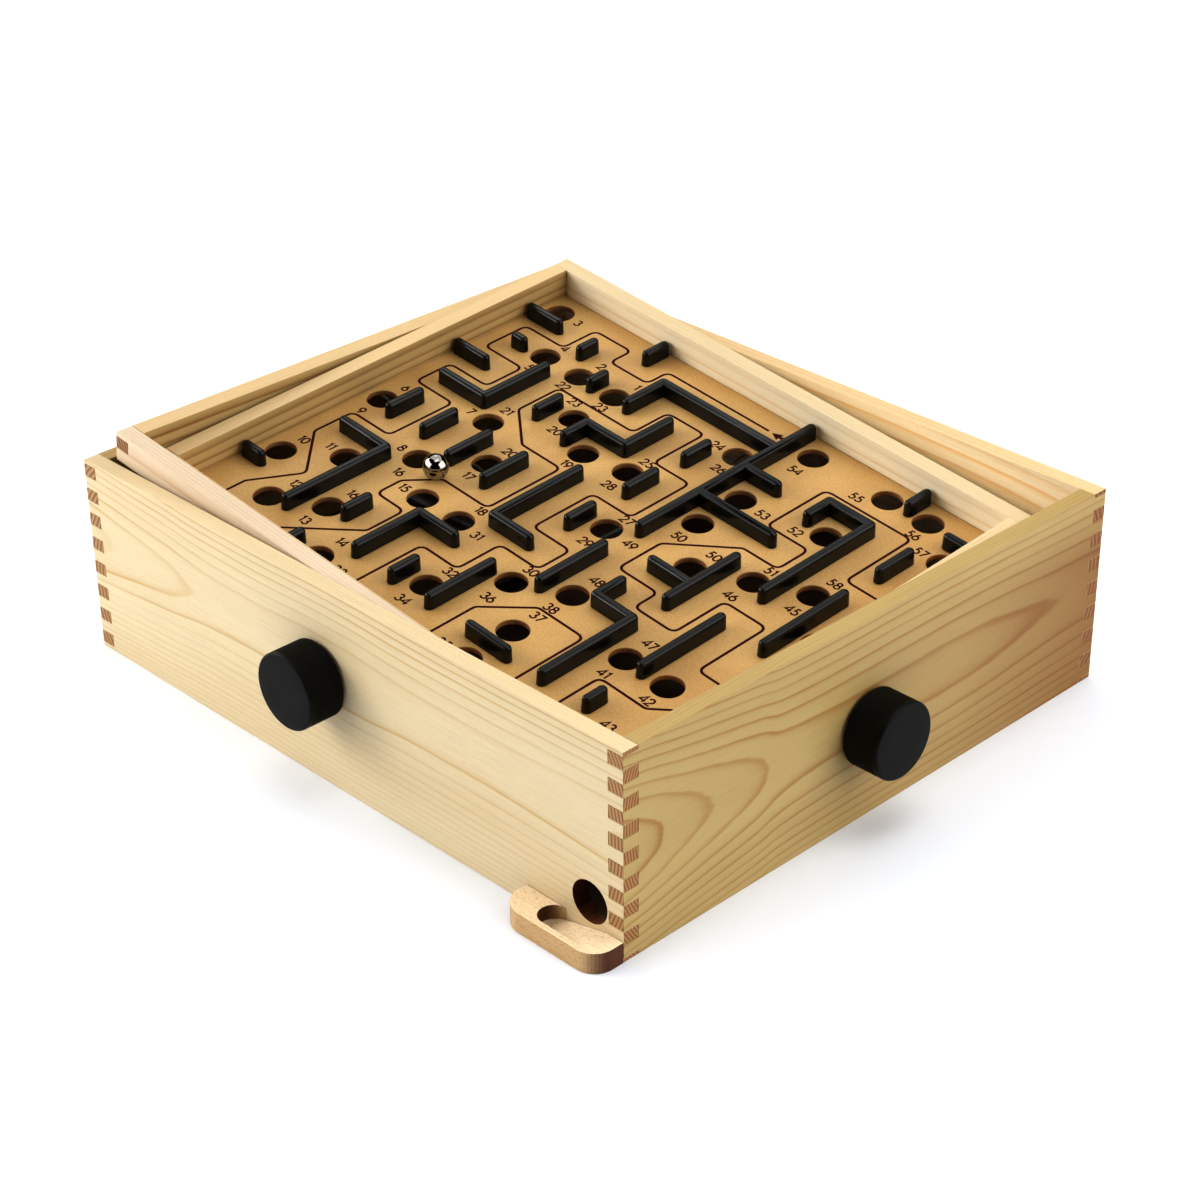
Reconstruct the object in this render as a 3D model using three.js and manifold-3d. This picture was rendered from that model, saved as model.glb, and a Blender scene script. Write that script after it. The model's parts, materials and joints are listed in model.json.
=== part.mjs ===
// A tilt maze game. An open pine box holds a tilting ring on two pins, and the ring holds a framed maze
// board on two more pins, turned a quarter. Two knobs on steel shafts pull the ring and the board through
// strings, and a steel ball rolls along the maze. A ball that drops through a hole in the board lands on
// the sloping return floor and rolls out into the catch tray.
// Millimetres. +Z is up, +X runs along the front wall and +Y along the left wall. The board is shown tilted.
import * as THREE from 'three';
import { mergeVertices } from 'three/addons/utils/BufferGeometryUtils.js';
import Module from 'manifold-3d';

const wasm = await Module();
wasm.setup();

// ---- Box ----
const BOX_X = 310;
const BOX_Y = 355;
const BOX_HEIGHT = 100;
const WALL = 8.3;
const INSIDE_X = BOX_X / 2 - WALL;
const INSIDE_Y = BOX_Y / 2 - WALL;
const FINGER_EDGE = 2;
const FINGER_PITCH = 6.4;
const FINGER_COUNT = 15;
const JOINT_GAP = 0.1;

// ---- Ring and maze frame, each measured from the pivot's height ----
const PIVOT_HEIGHT = 87.5;
const RING = { x: 289, y: 333, rail: 9, levels: [-7.5, -0.9, 5.5, 7.5] };
const FRAME = { x: 266, y: 310, rail: 8.5, levels: [-8.8, -2.4, 4, 6.7] };
const RING_TILT = THREE.MathUtils.degToRad(7);
const MAZE_TILT = THREE.MathUtils.degToRad(-4.5);
const BOARD_THICKNESS = 3;
const BOARD_TOP = FRAME.levels[0];
const BOARD_BOTTOM = BOARD_TOP - BOARD_THICKNESS;
const FACE_GAP = 0.1;

// ---- Pivot pins ----
const PIN_RADIUS = 2;
const PIN_HOLE_RADIUS = 2.15;
const PIN_BITE = 6;
const PIN_END_GAP = 0.2;
const ROUND_SIDES = 12;

// ---- Knobs and shafts ----
const KNOB_RADIUS = 18.25;
const KNOB_LENGTH = 18.6;
const KNOB_GAP = 1.2;
const KNOB_EDGE = 1.3;
const KNOB_BORE_DEPTH = 13;
const KNOB_SIDES = 32;
const SHAFT_RADIUS = 3;
const SHAFT_HOLE_RADIUS = 3.3;
const SHAFT_BITE = 5;
const LEFT_SHAFT = { across: 9.3, height: 54.5 };
const FRONT_SHAFT = { across: -7.5, height: 46.5 };

// ---- Return floor, exit hole and catch tray ----
const FLOOR_THICKNESS = 3;
const FLOOR_BITE = 2.5;
const FLOOR_GAP = 0.3;
const FLOOR_LOW = 10;
const FLOOR_FALL_X = 0.02;
const FLOOR_FALL_Y = 0.03;
const EXIT_RADIUS = 10;
const EXIT_Y = -158.2;
const EXIT_HEIGHT = 20;
const EXIT_SIDES = 24;
const TRAY = { depth: 16.2, gap: 0.3, height: 10, back: -121, front: -177.5, roundBack: 12, roundFront: 10 };
const SLOT_RADIUS = 6.65;
const SLOT_END_Y = -144;
const SLOT_RAMP = [[-130, 3], [-140, 3], [-154, 6.4], [-170, 10.3], [-170, 30], [-130, 30]];

// ---- Ball ----
const BALL_RADIUS = 6.35;
const BALL_AT = [-33.8, 68.9];
const BALL_GAP = 0.25;

// ---- Strings and springs ----
const STRING_RADIUS = 0.5;
const STRING_CLEARANCE = 0.3;
const STRING_SIDES = 8;
const WINDING_TURNS = 2;
const WINDING_STEPS = 12;
const WINDING_PITCH = 1.4;
const RUN_STEPS = 8;
const SPRING_RADIUS = 2.2;
const SPRING_LENGTH = 20;
const EYE_DROP = 17;
const RING_EYE_Y = 161.5;
const MAZE_EYE_X = 128.7;
const RING_STRING_X = 4;
const MAZE_STRING_Y = -4;

// ---- Maze: hole centres on the board, and the walls' centrelines with their outermost ends ----
const HOLE_RADIUS = 7.75;
const HOLE_SIDES = 12;
const HOLES = [
  [110.3, 136.5], [76.5, 111.3], [76.5, 86.5], [76.5, 61.5], [48.8, 61.5], [31.5, 36.9], [36.5, 11.6],
  [15.9, 87.1], [-8.8, 137], [-8, 61.5], [-29.5, 86.5], [-49, 61], [-48.5, 36.5], [-54, 110.5],
  [-73, 136], [-85.5, 85.5], [-100.3, 110.5], [-91.3, 10], [-113.3, 59.6], [110.3, -40], [110.5, -87],
  [110.5, -112], [91.3, -137], [84.3, -15], [59.8, -40], [67.8, -86.8], [31.5, -39.5], [18, -87.5],
  [4.8, -60.8], [30.6, -112.6], [-2.5, -14], [-48.4, -39.5], [-62, -14], [-85, -40], [-62.5, -87.5],
  [-62.5, -113], [-113, -40], [-113, -113], [-28, -137], [6, -137],
];
const MAZE_WALL_WIDTH = 5.3;
const MAZE_WALL_HEIGHT = 8;
const ARC_STEPS = 6;
const RAIL_Y = 146.2;
const RAIL_X = 124.2;
const MAZE_WALLS = [
  [[[97, RAIL_Y], [97, 120.5]]],
  [[[85.5, 98], [100.2, 98]]],
  [[[69, 73.5], [83.7, 73.5]]],
  [
    [[69, 48], [97, 48], [97, -28]],
    [[RAIL_X, -28], [2.5, -28]],
    [[75, -28], [75, -51.5]],
    [[44, -28], [44, -77]],
  ],
  [[[77.7, 22.5], [45, 22.5], [45, 48.5], [27.5, 48.5]]],
  [[[67.2, 98.5], [23.5, 98.5], [23.5, 131]]],
  [[[47, RAIL_Y], [47, 121]]],
  [[[32.5, 73.5], [52.7, 73.5]]],
  [[[-18.5, 123], [5.7, 123]]],
  [[[-18, 98.5], [6.2, 98.5]]],
  [[[-24.5, 73.5], [6.2, 73.5]]],
  [[[-24.5, 48.5], [6.2, 48.5]]],
  [[[17.7, 23], [-39, 23], [-39, -3.5]]],
  [[[-18, -2], [2.2, -2]]],
  [[[57.5, -3], [77.7, -3]]],
  [[[19, -2.5], [42.7, -2.5]]],
  [[[106.5, 72], [RAIL_X, 72]]],
  [[[106.5, -101], [RAIL_X, -101]]],
  [[[65.5, -74.5], [83, -74.5], [83, -100], [8, -100]]],
  [[[102.5, -127.5], [102.5, -RAIL_Y]]],
  [[[57.5, -125.5], [83.2, -125.5]]],
  [[[-19.5, -126], [38.2, -126]]],
  [[[22.7, -74.5], [-27, -74.5]], [[-9.5, -48], [-9.5, -74.5]]],
  [[[-59.5, -27], [-14.8, -27]]],
  [[[-27.8, -52], [-46, -52], [-46, -75], [-103, -75]]],
  [[[-68.5, -100.5], [-14.3, -100.5]]],
  [[[-101, -56], [-101, -27.5]]],
  [[[-103.5, -3], [-61.3, -3]]],
  [[[-103.5, 22], [-84.8, 22]]],
  [[[-62.5, 21], [-62.5, 47.5], [-103, 47.5]]],
  [[[-88.5, 72.5], [-69.8, 72.5]]],
  [[[-40, 131], [-40, 97.5], [-103, 97.5]]],
];

// ---- Materials ----
function finish(color, roughness, metalness = 0) {
  return new THREE.MeshStandardMaterial({ color, roughness, metalness });
}

const pine = () => finish(0xe6c48c, 0.6);
const palePine = () => finish(0xe9cda0, 0.6);
const beech = () => finish(0xd6b083, 0.6);
const hardboard = () => finish(0xcf9f62, 0.7);
const plywood = () => finish(0xc9a26b, 0.7);
const blackPlastic = () => finish(0x101010, 0.35);
const steel = () => finish(0xc8ccd0, 0.15, 1);
const cotton = () => finish(0xd8d2c2, 0.9);

// ---- Solids ----
function solidOf(geometry) {
  const plain = geometry.clone();
  plain.deleteAttribute('normal');
  plain.deleteAttribute('uv');
  const merged = mergeVertices(plain, 1e-4);
  const vertProperties = new Float32Array(merged.attributes.position.array);
  const triVerts = new Uint32Array(merged.index.array);
  return new wasm.Manifold(new wasm.Mesh({ numProp: 3, vertProperties, triVerts }));
}

function geometryOf(solid) {
  const mesh = solid.getMesh();
  const geometry = new THREE.BufferGeometry();
  geometry.setAttribute('position', new THREE.BufferAttribute(mesh.vertProperties, mesh.numProp));
  geometry.setIndex(new THREE.BufferAttribute(mesh.triVerts, 1));
  geometry.computeVertexNormals();
  return geometry;
}

function cutAway(geometry, cutters) {
  return geometryOf(cutters.reduce((solid, cutter) => solid.subtract(solidOf(cutter)), solidOf(geometry)));
}

function joined(geometries) {
  const [first, ...rest] = geometries.map(solidOf);
  return geometryOf(rest.reduce((solid, other) => solid.add(other), first));
}

// A round bar along local Y, from one y to another.
function barAlongY(radius, fromY, toY, sides) {
  const bar = new THREE.CylinderGeometry(radius, radius, toY - fromY, sides);
  return bar.translate(0, (fromY + toY) / 2, 0);
}

function addPart(group, name, geometry, material) {
  const mesh = new THREE.Mesh(geometry, material);
  mesh.name = name;
  group.add(mesh);
  return mesh;
}

// ---- Finger-jointed boards ----
// A board stands in its own frame: X along it, Z up, the inner face at y = 0 and the outer face at
// y = -thickness. Each level is where the fingers change at its ends; ownsEdges says that the lowest and
// highest bands are this board's own fingers.
function fingerOutline(halfLength, depth, levels, ownsEdges) {
  const side = [];
  let level = levels[0];
  for (let band = 0; band < levels.length - 1; band++) {
    const isFinger = (band % 2 === 0) === ownsEdges;
    const reach = isFinger ? halfLength : halfLength - depth - JOINT_GAP;
    side.push(new THREE.Vector2(reach, level));
    const isTop = band === levels.length - 2;
    const step = isFinger ? -JOINT_GAP / 2 : JOINT_GAP / 2;
    level = isTop ? levels[band + 1] : levels[band + 1] + step;
    side.push(new THREE.Vector2(reach, level));
  }
  const otherSide = side.map((point) => new THREE.Vector2(-point.x, point.y)).reverse();
  return new THREE.Shape([...side, ...otherSide]);
}

function fingerBoard(halfLength, neighbour, thickness, levels, ownsEdges) {
  const outline = fingerOutline(halfLength, neighbour, levels, ownsEdges);
  const board = new THREE.ExtrudeGeometry(outline, { depth: thickness, bevelEnabled: false });
  return board.rotateX(Math.PI / 2);
}

// A drilling in a board: through it, or blind from its inner or outer face.
function drilling(thickness, { along, height, radius, sides = ROUND_SIDES, from = 'through', depth = 0 }) {
  const start = from === 'outer' ? -thickness + depth : 1;
  const end = from === 'inner' ? -depth : -thickness - 1;
  return barAlongY(radius, end, start, sides).translate(along, 0, height);
}

// Where each of the four boards of a rectangle stands: its turn about Z and its inner face's place.
function fourSides(insideX, insideY) {
  return {
    front: { turn: 0, place: [0, -insideY] },
    right: { turn: Math.PI / 2, place: [insideX, 0] },
    back: { turn: Math.PI, place: [0, insideY] },
    left: { turn: -Math.PI / 2, place: [-insideX, 0] },
  };
}

function standBoard(mesh, { turn, place }) {
  mesh.rotation.z = turn;
  mesh.position.set(place[0], place[1], 0);
}

// ---- Box walls ----
const WALL_LEVELS = [0];
for (let band = 0; band <= FINGER_COUNT; band++) {
  WALL_LEVELS.push(FINGER_EDGE + band * FINGER_PITCH);
}
WALL_LEVELS.push(BOX_HEIGHT);

const BLIND_SHAFT = { radius: SHAFT_HOLE_RADIUS, from: 'inner', depth: SHAFT_BITE };
const RING_PIN_HOLE = {
  along: 0, height: PIVOT_HEIGHT, radius: PIN_HOLE_RADIUS, from: 'inner', depth: PIN_BITE,
};
const WALL_DRILLINGS = {
  front: [{ along: FRONT_SHAFT.across, height: FRONT_SHAFT.height, radius: SHAFT_HOLE_RADIUS }],
  right: [{ along: LEFT_SHAFT.across, height: LEFT_SHAFT.height, ...BLIND_SHAFT }, RING_PIN_HOLE],
  back: [{ along: -FRONT_SHAFT.across, height: FRONT_SHAFT.height, ...BLIND_SHAFT }],
  left: [
    { along: -LEFT_SHAFT.across, height: LEFT_SHAFT.height, radius: SHAFT_HOLE_RADIUS },
    { along: -EXIT_Y, height: EXIT_HEIGHT, radius: EXIT_RADIUS, sides: EXIT_SIDES },
    RING_PIN_HOLE,
  ],
};

// A plate that follows the return floor's two slopes, grown by a gap on every side.
function slopingPlate(gap) {
  const halfX = INSIDE_X + FLOOR_BITE + gap;
  const halfY = INSIDE_Y + FLOOR_BITE + gap;
  const plate = new THREE.BoxGeometry(2 * halfX, 2 * halfY, FLOOR_THICKNESS + 2 * gap);
  const corners = plate.attributes.position;
  for (let i = 0; i < corners.count; i++) {
    const rise = FLOOR_FALL_X * (corners.getX(i) + INSIDE_X) + FLOOR_FALL_Y * (corners.getY(i) + INSIDE_Y);
    corners.setZ(i, corners.getZ(i) + FLOOR_LOW - FLOOR_THICKNESS / 2 + rise);
  }
  return plate;
}

function addWalls(group) {
  for (const [side, stand] of Object.entries(fourSides(INSIDE_X, INSIDE_Y))) {
    const isSide = side === 'left' || side === 'right';
    const halfLength = (isSide ? BOX_Y : BOX_X) / 2;
    const wall = addPart(group, `wall_${side}`, undefined, pine());
    standBoard(wall, stand);
    wall.updateMatrix();
    const groove = slopingPlate(FLOOR_GAP).applyMatrix4(wall.matrix.clone().invert());
    const drillings = WALL_DRILLINGS[side].map((hole) => drilling(WALL, hole));
    const board = fingerBoard(halfLength, WALL, WALL, WALL_LEVELS, isSide);
    wall.geometry = cutAway(board, [groove, ...drillings]);
  }
}

// ---- Catch tray: a block with two rounded corners and a slot that slopes to its closed end ----
function trayOutline() {
  const { depth, back, front, roundBack, roundFront } = TRAY;
  const outline = new THREE.Shape();
  outline.moveTo(0, front);
  outline.lineTo(0, back);
  outline.lineTo(-depth + roundBack, back);
  outline.absarc(-depth + roundBack, back - roundBack, roundBack, Math.PI / 2, Math.PI, false);
  outline.absarc(-depth + roundFront, front + roundFront, roundFront, Math.PI, 1.5 * Math.PI, false);
  outline.closePath();
  return outline;
}

function slotCutter() {
  const centreX = -SLOT_RADIUS;
  const plan = new THREE.Shape();
  plan.moveTo(1, SLOT_END_Y);
  plan.lineTo(0, SLOT_END_Y);
  plan.absarc(centreX, SLOT_END_Y, SLOT_RADIUS, 0, Math.PI, false);
  plan.lineTo(centreX - SLOT_RADIUS, TRAY.front - 5);
  plan.lineTo(1, TRAY.front - 5);
  plan.closePath();
  const prism = new THREE.ExtrudeGeometry(plan, { depth: 40, bevelEnabled: false, curveSegments: 10 });
  const profile = new THREE.Shape(SLOT_RAMP.map(([y, z]) => new THREE.Vector2(-y, z)));
  const above = new THREE.ExtrudeGeometry(profile, { depth: 60, bevelEnabled: false });
  above.rotateX(Math.PI / 2);
  above.rotateZ(-Math.PI / 2);
  above.translate(30, 0, 0);
  return geometryOf(solidOf(prism.translate(0, 0, -5)).intersect(solidOf(above)));
}

function addTray(group) {
  const block = new THREE.ExtrudeGeometry(trayOutline(), {
    depth: TRAY.height, bevelEnabled: false, curveSegments: 5,
  });
  const tray = addPart(group, 'catch_tray', cutAway(block, [slotCutter()]), beech());
  tray.position.x = -BOX_X / 2 - TRAY.gap;
}

// ---- Pivot pins: each lies in a blind hole at both ends ----
function addPin(group, name, turn, place) {
  const bar = barAlongY(PIN_RADIUS, -PIN_BITE + PIN_END_GAP, place.gap + PIN_BITE - PIN_END_GAP, ROUND_SIDES);
  const pin = addPart(group, name, bar, steel());
  pin.rotation.z = turn;
  pin.position.set(place.x, place.y, place.z);
}

function addRingPins(group) {
  const gap = INSIDE_X - RING.x / 2;
  const left = { x: -INSIDE_X, y: 0, z: PIVOT_HEIGHT, gap };
  const right = { x: INSIDE_X, y: 0, z: PIVOT_HEIGHT, gap };
  addPin(group, 'ring_pin_left', -Math.PI / 2, left);
  addPin(group, 'ring_pin_right', Math.PI / 2, right);
}

function addMazePins(group) {
  const inner = RING.y / 2 - RING.rail;
  const gap = inner - FRAME.y / 2;
  addPin(group, 'maze_pin_front', 0, { x: 0, y: -inner, z: 0, gap });
  addPin(group, 'maze_pin_back', Math.PI, { x: 0, y: inner, z: 0, gap });
}

// ---- Rails of the ring and of the maze frame ----
const BLIND_PIN = { along: 0, height: 0, radius: PIN_HOLE_RADIUS, depth: PIN_BITE };

function addRails(group, prefix, size, drillings) {
  const sides = fourSides(size.x / 2 - size.rail, size.y / 2 - size.rail);
  for (const [side, stand] of Object.entries(sides)) {
    const isSide = side === 'left' || side === 'right';
    const halfLength = (isSide ? size.y : size.x) / 2;
    const plain = fingerBoard(halfLength, size.rail, size.rail, size.levels, isSide);
    const hole = drillings[side];
    const geometry = hole ? cutAway(plain, [drilling(size.rail, hole)]) : plain;
    standBoard(addPart(group, `${prefix}_${side}`, geometry, palePine()), stand);
  }
}

function addRingRails(group) {
  const fromOutside = { ...BLIND_PIN, from: 'outer' };
  const fromInside = { ...BLIND_PIN, from: 'inner' };
  addRails(group, 'ring_rail', RING, {
    left: fromOutside, right: fromOutside, front: fromInside, back: fromInside,
  });
}

function addFrameRails(group) {
  const fromOutside = { ...BLIND_PIN, from: 'outer' };
  addRails(group, 'frame_rail', FRAME, { front: fromOutside, back: fromOutside });
}

// ---- Maze board and walls ----
function mazeBoard() {
  const outline = new THREE.Shape();
  outline.moveTo(-FRAME.x / 2, -FRAME.y / 2);
  outline.lineTo(FRAME.x / 2, -FRAME.y / 2);
  outline.lineTo(FRAME.x / 2, FRAME.y / 2);
  outline.lineTo(-FRAME.x / 2, FRAME.y / 2);
  outline.closePath();
  for (const [x, y] of HOLES) {
    const hole = new THREE.Path();
    hole.absarc(x, y, HOLE_RADIUS, 0, 2 * Math.PI, true);
    outline.holes.push(hole);
  }
  return new THREE.ExtrudeGeometry(outline, {
    depth: BOARD_THICKNESS - FACE_GAP, bevelEnabled: false, curveSegments: HOLE_SIDES / 2,
  });
}

// One straight stretch of maze wall between two centres, with round ends.
function stretch(from, to) {
  const radius = MAZE_WALL_WIDTH / 2;
  const heading = Math.atan2(to.y - from.y, to.x - from.x);
  const quarter = Math.PI / 2;
  const plan = new THREE.Shape();
  plan.absarc(to.x, to.y, radius, heading - quarter, heading + quarter, false);
  plan.absarc(from.x, from.y, radius, heading + quarter, heading + 3 * quarter, false);
  plan.closePath();
  const options = { depth: MAZE_WALL_HEIGHT, bevelEnabled: false, curveSegments: ARC_STEPS / 2 };
  return new THREE.ExtrudeGeometry(plan, options);
}

// The ends of a line are the wall's outermost points, so its end centres lie one radius further in.
function stretchesOf(line) {
  const points = line.map(([x, y]) => new THREE.Vector2(x, y));
  const pulledIn = (end, next) => next.clone().sub(end).setLength(MAZE_WALL_WIDTH / 2).add(end);
  const last = points.length - 1;
  const centres = [
    pulledIn(points[0], points[1]),
    ...points.slice(1, last),
    pulledIn(points[last], points[last - 1]),
  ];
  return centres.slice(1).map((centre, i) => stretch(centres[i], centre));
}

function addMazeWalls(group) {
  MAZE_WALLS.forEach((lines, i) => {
    const pieces = lines.flatMap(stretchesOf);
    const geometry = pieces.length > 1 ? joined(pieces) : pieces[0];
    const wall = addPart(group, `maze_wall_${String(i + 1).padStart(2, '0')}`, geometry, blackPlastic());
    wall.position.z = BOARD_TOP + FACE_GAP;
  });
}

function addBoard(group) {
  const board = addPart(group, 'maze_board', mazeBoard(), hardboard());
  board.position.z = BOARD_BOTTOM;
}

// ---- Knobs and shafts: the outer end points along local -Y ----
function knobGeometry() {
  const profile = [
    new THREE.Vector2(0, 0),
    new THREE.Vector2(KNOB_RADIUS - KNOB_EDGE, 0),
    new THREE.Vector2(KNOB_RADIUS - KNOB_EDGE / 3, KNOB_EDGE / 3),
    new THREE.Vector2(KNOB_RADIUS, KNOB_EDGE),
    new THREE.Vector2(KNOB_RADIUS, KNOB_LENGTH - KNOB_EDGE / 2),
    new THREE.Vector2(KNOB_RADIUS - KNOB_EDGE / 2, KNOB_LENGTH),
    new THREE.Vector2(0, KNOB_LENGTH),
  ];
  const knob = new THREE.LatheGeometry(profile, KNOB_SIDES);
  const bore = barAlongY(SHAFT_HOLE_RADIUS, KNOB_LENGTH - KNOB_BORE_DEPTH, KNOB_LENGTH + 1, ROUND_SIDES);
  return cutAway(knob, [bore]);
}

function addKnobAndShaft(group, side, turn, place, acrossBox) {
  const knob = addPart(group, `knob_${side}`, knobGeometry(), blackPlastic());
  knob.rotation.z = turn;
  knob.position.copy(place.knob);
  const start = KNOB_LENGTH - KNOB_BORE_DEPTH + PIN_END_GAP;
  const length = KNOB_LENGTH - start + KNOB_GAP + WALL + acrossBox + SHAFT_BITE - PIN_END_GAP;
  const shaft = addPart(group, `shaft_${side}`, barAlongY(SHAFT_RADIUS, 0, length, ROUND_SIDES), steel());
  shaft.rotation.z = turn;
  shaft.position.copy(place.knob).add(place.inward.clone().multiplyScalar(start));
}

function addControls(group) {
  const outerX = -BOX_X / 2 - KNOB_GAP - KNOB_LENGTH;
  const outerY = -BOX_Y / 2 - KNOB_GAP - KNOB_LENGTH;
  addKnobAndShaft(group, 'left', -Math.PI / 2, {
    knob: new THREE.Vector3(outerX, LEFT_SHAFT.across, LEFT_SHAFT.height),
    inward: new THREE.Vector3(1, 0, 0),
  }, 2 * INSIDE_X);
  addKnobAndShaft(group, 'front', 0, {
    knob: new THREE.Vector3(FRONT_SHAFT.across, outerY, FRONT_SHAFT.height),
    inward: new THREE.Vector3(0, 1, 0),
  }, 2 * INSIDE_Y);
}

// ---- Strings ----
// A curve through listed points that a tube visits one by one, however far apart they are.
class Route extends THREE.Curve {
  constructor(points) {
    super();
    this.points = points;
  }

  getPointAt(u, target = new THREE.Vector3()) {
    const last = this.points.length - 1;
    const at = Math.min(u * last, last - 1e-9);
    const i = Math.floor(at);
    return target.lerpVectors(this.points[i], this.points[i + 1], at - i);
  }

  getTangentAt(u, target = new THREE.Vector3()) {
    const last = this.points.length - 1;
    const i = Math.round(u * last);
    const before = this.points[Math.max(i - 1, 0)];
    const after = this.points[Math.min(i + 1, last)];
    return target.subVectors(after, before).normalize();
  }
}

function cordAlong(points) {
  const section = new THREE.Shape();
  section.absarc(0, 0, STRING_RADIUS, 0, 2 * Math.PI, false);
  return new THREE.ExtrudeGeometry(section, {
    steps: points.length - 1, extrudePath: new Route(points), curveSegments: STRING_SIDES / 2,
  });
}

function pointsBetween(from, to) {
  const points = [];
  for (let i = 0; i <= RUN_STEPS; i++) {
    points.push(from.clone().lerp(to, i / RUN_STEPS));
  }
  return points;
}

// A string in the frame of its shaft: the shaft lies along local Y, the two ends pull towards +X and -X, and
// the winding starts and ends at the top of the shaft. Turning the knob pulls one run in and lets the other out.
function stringRoute(plusEnd, minusEnd) {
  const radius = SHAFT_RADIUS + STRING_CLEARANCE + STRING_RADIUS;
  const halfWidth = (WINDING_TURNS * WINDING_PITCH) / 2;
  const winding = [];
  const steps = WINDING_TURNS * WINDING_STEPS;
  for (let i = 0; i <= steps; i++) {
    const angle = (i / steps) * WINDING_TURNS * 2 * Math.PI;
    const along = halfWidth - (i / steps) * 2 * halfWidth;
    winding.push(new THREE.Vector3(-radius * Math.sin(angle), along, radius * Math.cos(angle)));
  }
  const incoming = pointsBetween(plusEnd, winding[0]).slice(0, -1);
  const outgoing = pointsBetween(winding[steps], minusEnd).slice(1);
  return [...incoming, ...winding, ...outgoing];
}

// The spring takes the last stretch of the run that ends at the eye.
function springBetween(eye, towards) {
  const direction = towards.clone().sub(eye).normalize();
  const stringEnd = eye.clone().addScaledVector(direction, SPRING_LENGTH + STRING_CLEARANCE);
  const body = barAlongY(SPRING_RADIUS, 0, SPRING_LENGTH, STRING_SIDES);
  return { body, direction, stringEnd };
}

function addString(group, name, shaft, turn, plusEye, minusEye) {
  const frame = new THREE.Group();
  frame.position.copy(shaft);
  frame.rotation.z = turn;
  frame.updateMatrix();
  group.add(frame);
  const toFrame = frame.matrix.clone().invert();
  const plus = plusEye.clone().applyMatrix4(toFrame);
  const minus = minusEye.clone().applyMatrix4(toFrame);
  const shaftTop = new THREE.Vector3(0, 0, SHAFT_RADIUS);
  const spring = springBetween(minus, shaftTop);
  addPart(frame, `${name}_string`, cordAlong(stringRoute(plus, spring.stringEnd)), cotton());
  const coil = addPart(frame, `${name}_spring`, spring.body, steel());
  coil.quaternion.setFromUnitVectors(new THREE.Vector3(0, 1, 0), spring.direction);
  coil.position.copy(minus);
}

// The eyes hang under the tilted ring and under the tilted board; each string ends at two of them.
function eyeAt(tiltedGroup, x, y) {
  return new THREE.Vector3(x, y, -EYE_DROP).applyMatrix4(tiltedGroup.matrixWorld);
}

function addStrings(group, ring, maze) {
  const ringShaft = new THREE.Vector3(RING_STRING_X, LEFT_SHAFT.across, LEFT_SHAFT.height);
  const ringBack = eyeAt(ring, RING_STRING_X, RING_EYE_Y);
  const ringFront = eyeAt(ring, RING_STRING_X, -RING_EYE_Y);
  addString(group, 'ring', ringShaft, Math.PI / 2, ringBack, ringFront);
  const mazeShaft = new THREE.Vector3(FRONT_SHAFT.across, MAZE_STRING_Y, FRONT_SHAFT.height);
  const mazeRight = eyeAt(maze, MAZE_EYE_X, MAZE_STRING_Y);
  const mazeLeft = eyeAt(maze, -MAZE_EYE_X, MAZE_STRING_Y);
  addString(group, 'maze', mazeShaft, 0, mazeRight, mazeLeft);
}

// ---- Ball ----
function addBall(group) {
  const ball = addPart(group, 'steel_ball', new THREE.SphereGeometry(BALL_RADIUS, 16, 10), steel());
  ball.position.set(BALL_AT[0], BALL_AT[1], BOARD_TOP + BALL_RADIUS + BALL_GAP);
}

// ---- Whole game ----
function buildGame() {
  const box = new THREE.Group();
  addWalls(box);
  addPart(box, 'return_floor', slopingPlate(0), plywood());
  addTray(box);
  addRingPins(box);
  addControls(box);

  const ring = new THREE.Group();
  ring.position.z = PIVOT_HEIGHT;
  ring.rotation.x = RING_TILT;
  addRingRails(ring);
  addMazePins(ring);
  box.add(ring);

  const maze = new THREE.Group();
  maze.rotation.y = MAZE_TILT;
  addFrameRails(maze);
  addBoard(maze);
  addMazeWalls(maze);
  addBall(maze);
  ring.add(maze);

  box.updateMatrixWorld(true);
  addStrings(box, ring, maze);
  return box;
}

// The origin is the middle of the base of the whole outline, knobs included.
const originShift = (KNOB_GAP + KNOB_LENGTH) / 2;
const game = new THREE.Group();
game.position.set(originShift, originShift, 0);
game.add(buildGame());

export default game;
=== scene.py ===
import json
import math
import bmesh
import bpy
from mathutils import Matrix, Vector


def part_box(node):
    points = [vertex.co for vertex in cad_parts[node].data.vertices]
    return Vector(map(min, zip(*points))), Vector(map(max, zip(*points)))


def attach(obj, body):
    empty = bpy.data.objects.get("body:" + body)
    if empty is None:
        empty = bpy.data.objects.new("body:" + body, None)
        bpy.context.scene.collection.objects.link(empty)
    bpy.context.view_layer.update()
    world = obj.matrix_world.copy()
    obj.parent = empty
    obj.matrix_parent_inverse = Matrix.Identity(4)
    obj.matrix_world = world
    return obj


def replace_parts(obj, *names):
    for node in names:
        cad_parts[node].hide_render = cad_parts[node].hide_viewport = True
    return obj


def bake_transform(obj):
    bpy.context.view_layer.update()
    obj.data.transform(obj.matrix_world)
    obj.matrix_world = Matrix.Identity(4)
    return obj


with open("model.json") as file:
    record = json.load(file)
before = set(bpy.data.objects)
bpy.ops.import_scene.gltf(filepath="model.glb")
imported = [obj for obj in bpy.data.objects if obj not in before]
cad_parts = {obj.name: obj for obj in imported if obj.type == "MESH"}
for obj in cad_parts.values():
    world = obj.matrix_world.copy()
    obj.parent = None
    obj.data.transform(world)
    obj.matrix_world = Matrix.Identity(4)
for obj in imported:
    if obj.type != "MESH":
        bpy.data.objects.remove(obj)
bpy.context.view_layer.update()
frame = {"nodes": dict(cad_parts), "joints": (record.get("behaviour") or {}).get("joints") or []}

MM = 0.001
NODES = frame["nodes"]
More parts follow.
